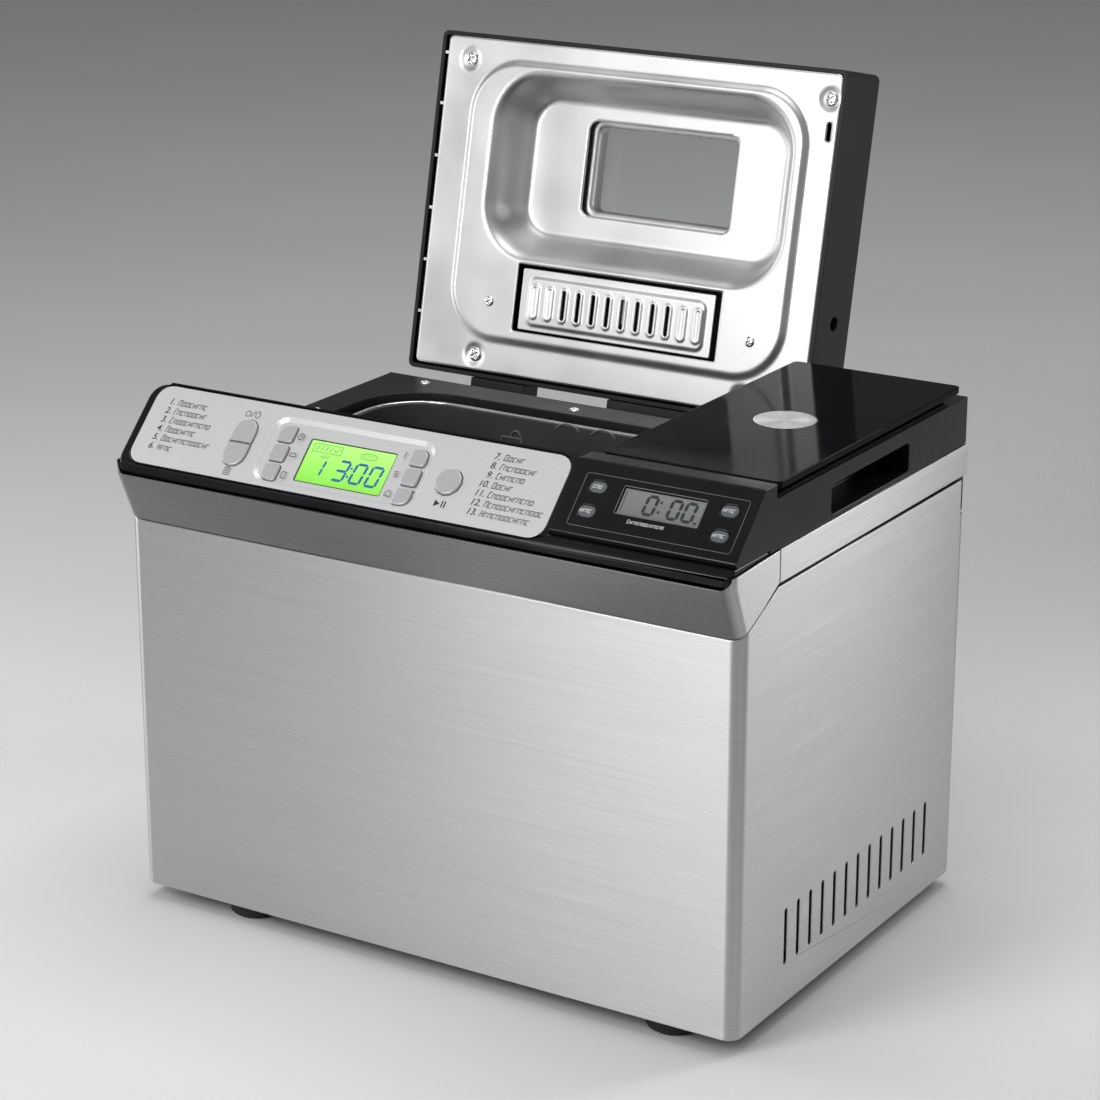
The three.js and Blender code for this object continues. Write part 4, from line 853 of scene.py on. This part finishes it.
# A dark line down the screen's left edge: painted shade, not a segment.
zeros_and_edge_shade += ribbon([(grey_left + 1.6, panel_s[0] + 1.5), (grey_left + 1.6, panel_s[1] - 1.5)], 0.3)
flat_marks("weight_figures_and_edge_shade", zeros_and_edge_shade, lambda x, s, h: panel_point(x, s, h - grey_sink), grey_segment_and_shade, "case")
panel_frame = rounded_outline(((grey_left - 21.5, grey_right + 21.0), (9.5, 37.0)), 1.5)
flat_marks("panel_frame", ribbon(panel_frame, 0.22, True), panel_point, grey_ink, "case")
screen_frame = rounded_outline(
    ((grey_left - 0.4, grey_right + 0.4), (panel_s[0] - 0.4, panel_s[1] + 0.4)), 0.5)
flat_marks("weight_screen_frame", ribbon(screen_frame, 0.3, True), panel_point, grey_ink, "case")
flat_marks("weight_range", letter_row(grey_left + 8.0, panel_s[0] - 4.2, 15, 1.3, 0.24),
           panel_point, white_ink, "case")
letters_on_key = {"scale_key_zero": 3, "scale_key_power": 4, "scale_key_hold": 4, "scale_key_unit": 4}
for node, letters in letters_on_key.items():
    kx, ks = key_spot(node)
    flat_marks(node + "_mark", letter_row(kx - letters * 0.85, ks - 0.8, letters, 1.6, 0.28, 1),
               lambda x, s, h: slope_point(x, s, h + panel_lift + key_proud), white_ink,
               body_of_node[node])


# %% [markdown]
# The disc on the glass is spun steel: a tool has cut fine rings round its centre, and they spread
# each highlight into a pair of bright fans. Real fans turn with the light. Here wedges of light and
# dark, painted by the angle round the centre, stand for them, and fine rings give the tool marks.

# %% Spun disc
def spun_steel(name, centre):
    material, tree, shader = start_finish(name, 0.26, 1.0)
    place = tree.nodes.new("ShaderNodeTexCoord")
    shift = tree.nodes.new("ShaderNodeMapping")
    shift.inputs["Location"].default_value = (-centre.x, -centre.y, -centre.z)
    tree.links.new(place.outputs["Object"], shift.inputs["Vector"])
    fan = tree.nodes.new("ShaderNodeTexGradient")
    fan.gradient_type = "RADIAL"
    tree.links.new(shift.outputs["Vector"], fan.inputs["Vector"])
    ramp = tree.nodes.new("ShaderNodeValToRGB")
    steps = [(0.0, 0.7), (0.1, 1.0), (0.2, 0.6), (0.33, 0.85), (0.45, 0.6), (0.58, 1.0), (0.7, 0.6),
             (0.85, 0.8), (1.0, 0.7)]
    ramp.color_ramp.elements[0].position, ramp.color_ramp.elements[1].position = steps[0][0], steps[-1][0]
    for position, _ in steps[1:-1]:
        ramp.color_ramp.elements.new(position)
    for element, (_, grey) in zip(ramp.color_ramp.elements, steps):
        element.color = (grey, grey, grey, 1)
    tree.links.new(fan.outputs["Fac"], ramp.inputs["Fac"])
    tree.links.new(ramp.outputs["Color"], shader.inputs["Base Color"])
    rings = tree.nodes.new("ShaderNodeTexWave")
    rings.wave_type = "RINGS"
    rings.rings_direction = "Z"
    rings.inputs["Scale"].default_value = 900
    tree.links.new(shift.outputs["Vector"], rings.inputs["Vector"])
    bump_by(tree, shader, rings.outputs["Fac"], 0.15, 0.02)
    return material


disc_low, disc_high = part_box("scale_disc")
rounded_parts["scale_disc"].data.materials[0] = spun_steel("spun_steel", (disc_low + disc_high) / 2)


# %% [markdown]
# Two short slots in the left of the deck let warm air out past the pan. Their insides lie in shade, so they
# are drawn as thin black ovals lying on the deck: painted shade in place of open slots.

# %% Deck slots
def deck_point(x, y, h):
    return Vector((deck_low.x, deck_low.y, deck_high.z)) + Vector((x, y, h)) * MM


deck_slot_shade = [rounded_outline(((at_x - 1.3, at_x + 1.3), (at_y - 7, at_y + 7)), 1.25, 5)
              for at_x, at_y in ((16.3, 131.2), (15.0, 157.6))]
flat_marks("deck_slot_shade", deck_slot_shade, deck_point, black_ink_and_shade, "case", 0.06)


# %% [markdown]
# Behind the well's window hole sits a pressed frame that holds the pane. Its rounded lip is what
# catches the light inside the opening. It is a loop of rounded rectangles joined into a skin.

# %% Window frame
def hoop(name, sections, place, finish, body, corner_steps=8):
    """Joins rounded outlines, each (box, corner, out), into a closed hoop."""
    rings = [[place(x, y, out) for x, y in rounded_outline(box, corner, corner_steps)]
             for box, corner, out in sections]
    count = len(rings[0])
    total = len(rings) * count
    faces = [[k * count + i, k * count + (i + 1) % count,
              ((k + 1) * count + (i + 1) % count) % total, ((k + 1) * count + i) % total]
             for k in range(len(rings)) for i in range(count)]
    mesh = bpy.data.meshes.new(name)
    mesh.from_pydata([p for r in rings for p in r], [], faces)
    mesh.materials.append(finish)
    mesh.polygons.foreach_set("use_smooth", [True] * len(faces))
    return add_piece(name, mesh, body)


def around(box, margin):
    return tuple((low - margin, high + margin) for low, high in box)


frame_sections = [
    (around(window_cut, 5.0), 9.0, -27.6), (around(window_cut, 1.0), 6.0, -27.0),
    (around(window_cut, -1.4), 4.5, -27.2), (around(window_cut, -2.6), 4.0, -28.2),
    (around(window_cut, -2.9), 3.8, -30.0), (around(window_cut, -2.9), 3.8, -37.0),
    (around(window_cut, -1.9), 4.2, -37.0), (around(window_cut, -1.9), 4.2, -30.0),
    (around(window_cut, -1.2), 4.6, -28.8), (around(window_cut, 5.0), 9.0, -28.6),
]
hoop("window_lip", frame_sections, lid_point, liner_metal, "lid")

# %% [markdown]
# Along the left of the lid a dark slit shows between the liner and the moulding, crossed by small
# bright clips that locate the sheet. They are short bars with rounded ends.

# %% Liner clips
def small_bar(name, low, high, place, finish, body, radius=0.3):
    shape = bmesh.new()
    bmesh.ops.create_cube(shape, size=1.0)
    for vertex in shape.verts:
        at = [low[k] + (vertex.co[k] + 0.5) * (high[k] - low[k]) for k in range(3)]
        vertex.co = place(*at)
    bmesh.ops.bevel(shape, geom=shape.edges[:], offset=radius * MM, segments=2, affect="EDGES")
    bmesh.ops.recalc_face_normals(shape, faces=shape.faces)
    mesh = bpy.data.meshes.new(name)
    shape.to_mesh(mesh)
    shape.free()
    mesh.materials.append(finish)
    return add_piece(name, mesh, body)


for number, v in enumerate((28, 57, 86, 115, 144, 172)):
    small_bar(f"liner_clip_{number}", (-2.4, v - 0.8, -1.2), (0.6, v + 0.8, -0.2), lid_point, liner_metal,
              "lid", 0.2)


# %% [markdown]
# The pan's rim is the bright bare edge of the metal where the coating stops. It is a thin hoop just
# above the coated rim. On the wall beside it are raised marks for taking the pan out and locking it:
# here two curved arrows between an open and a closed padlock, which need no words.

# %% Pan rim and marks
pan_low, pan_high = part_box("bread_pan")
pan_x = (pan_low.x / MM, pan_high.x / MM)
pan_y = (pan_low.y / MM, pan_high.y / MM)
rim_z = pan_high.z / MM


def world_point(x, y, z):
    return Vector((x, y, z)) * MM


rim_box = (pan_x, pan_y)
rim_sections = [
    (around(rim_box, -2.4), 32.6, rim_z + 0.15), (around(rim_box, -1.2), 33.8, rim_z + 0.65),
    (around(rim_box, -0.1), 34.9, rim_z + 0.15), (around(rim_box, 0.05), 35.0, rim_z - 0.8),
    (around(rim_box, -0.5), 34.5, rim_z - 1.4), (around(rim_box, -2.0), 33.0, rim_z - 0.6),
]
hoop("pan_rim", rim_sections, world_point, bright_metal, "pan", 10)


def raised_line(name, points, radius_mm, finish, body):
    curve = bpy.data.curves.new(name, "CURVE")
    curve.dimensions = "3D"
    curve.bevel_depth = radius_mm * MM
    curve.bevel_resolution = 2
    curve.use_fill_caps = True
    line = curve.splines.new("POLY")
    line.points.add(len(points) - 1)
    for place, point in zip(line.points, points):
        place.co = (*point, 1)
    helper = bpy.data.objects.new(name, curve)
    bpy.context.scene.collection.objects.link(helper)
    bpy.context.view_layer.update()
    mesh = bpy.data.meshes.new_from_object(helper.evaluated_get(bpy.context.evaluated_depsgraph_get()))
    bpy.data.objects.remove(helper)
    mesh.materials.clear()
    mesh.materials.append(finish)
    mesh.polygons.foreach_set("use_smooth", [True] * len(mesh.polygons))
    return add_piece(name, mesh, body)


wall_lean = 9.0 / 155.0
wall_inset = 4.6


def back_wall(x, z):
    """A point on the inner face of the pan's back wall, z down from the rim, in millimetres."""
    return world_point(x, pan_y[1] - wall_inset - wall_lean * z, rim_z - z)


middle_x = (pan_x[0] + pan_x[1]) / 2
marks = {
    "arrow_left": arc(middle_x + 8, 19, 8, 6, 25, 155),
    "arrow_right": arc(middle_x + 30, 19, 8, 6, 25, 155),
    "lock_open_loop": arc(middle_x - 24, 12, 3.4, 4.5, -20, 180),
    "lock_open_body": rounded_outline(((middle_x - 33, middle_x - 20), (4.5, 12.5)), 1, 3),
    "lock_shut_loop": arc(middle_x + 58, 12.5, 3.6, 4.5, 0, 180),
    "lock_shut_body": rounded_outline(((middle_x + 51.5, middle_x + 64.5), (4.5, 12.5)), 1, 3),
}
# The marks take the lighter grey coating, a painted highlight along their raised lines.
for name, outline in marks.items():
    closed_line = outline + outline[:1] if name.endswith("body") else outline
    raised_line("pan_mark_" + name, [back_wall(x, 24 - y) for x, y in closed_line], 0.5,
                coating_painted_highlight, "pan")


# %% [markdown]
# The picture is taken with a long lens from above and to the right, so that the near corner of the
# case stands upright. The floor is a wide pale sheet that curves up behind. Soft light comes from
# six panels. Two small ones stand close, where the steel mirrors them: one before the front and
# one beyond the side, so both walls are brightest at their shared corner and fade away from it.
# A third draws the bright line down the left corner.

# %% Floor, light and camera
def studio_floor():
    reach, rise, bend = 9.0, 5.0, 2.5
    profile = [(-reach, 0.0)] + [(bend_y, bend_z) for bend_y, bend_z in
                                 [(reach * 0.55 + bend * math.sin(a), bend * (1 - math.cos(a)))
                                  for a in np.linspace(0, math.pi / 2, 16)]]
    profile.append((reach * 0.55 + bend, rise))
    points = [(x, y, z - 0.0005) for x in (-reach, reach) for y, z in profile]
    count = len(profile)
    faces = [[i, i + 1, count + i + 1, count + i] for i in range(count - 1)]
    mesh = bpy.data.meshes.new("studio_floor")
    mesh.from_pydata(points, [], faces)
    mesh.polygons.foreach_set("use_smooth", [True] * len(faces))
    floor = bpy.data.objects.new("studio_floor", mesh)
    floor.rotation_euler = (0, 0, math.radians(31.9))
    bpy.context.scene.collection.objects.link(floor)
    material, tree, shader = start_finish("studio_paper", 0.7)
    tint_by(tree, shader, noise_field(tree, (3, 3, 3), 2.0), (0.64, 0.64, 0.64), (0.66, 0.66, 0.66))
    mesh.materials.append(material)


def soft_panel(name, at, towards, size, watts):
    light = bpy.data.lights.new(name, "AREA")
    light.shape = "RECTANGLE"
    light.size, light.size_y = size
    light.energy = watts
    panel = bpy.data.objects.new(name, light)
    panel.location = at
    panel.rotation_euler = (Vector(towards) - Vector(at)).to_track_quat("-Z", "Y").to_euler()
    bpy.context.scene.collection.objects.link(panel)
    return panel


studio_floor()
soft_panel("near_front_panel", (-0.22, -0.95, 0.66), (0.15, -0.12, 0.1), (0.4, 0.66), 6.0)
soft_panel("near_side_panel", (0.46, 0.35, 0.42), (0.17, -0.1, 0.14), (0.14, 0.42), 1.2)
soft_panel("left_edge_panel", (-0.95, -0.3, 0.4), (-0.17, -0.1, 0.1), (0.3, 0.6), 2.5)
soft_panel("front_panel", (-1.2, -2.3, 1.7), (0, 0, 0.15), (1.6, 1.2), 3)
soft_panel("side_panel", (2.6, -0.9, 1.2), (0, 0, 0.15), (1.4, 1.2), 2.5)
soft_panel("top_panel", (0.0, 0.2, 2.4), (0, 0, 0.25), (1.6, 1.6), 27)
world = bpy.data.worlds.new("studio")
world.use_nodes = True
world.node_tree.nodes["Background"].inputs["Color"].default_value = (0.85, 0.86, 0.87, 1)
world.node_tree.nodes["Background"].inputs["Strength"].default_value = 0.23
bpy.context.scene.world = world
bpy.context.scene.view_settings.view_transform = "Standard"

lens = bpy.data.cameras.new("camera")
lens.lens = 104.4
lens.sensor_width = 36.0
lens.clip_end = 50.0
camera = bpy.data.objects.new("camera", lens)
camera.location = (0.80955, -1.34142, 0.69454)
looking_down, turned_round = 18.33, 31.88
camera.rotation_euler = (math.radians(90 - looking_down), 0, math.radians(turned_round))
bpy.context.scene.collection.objects.link(camera)
bpy.context.scene.camera = camera
print("camera", [round(v, 3) for v in camera.location])
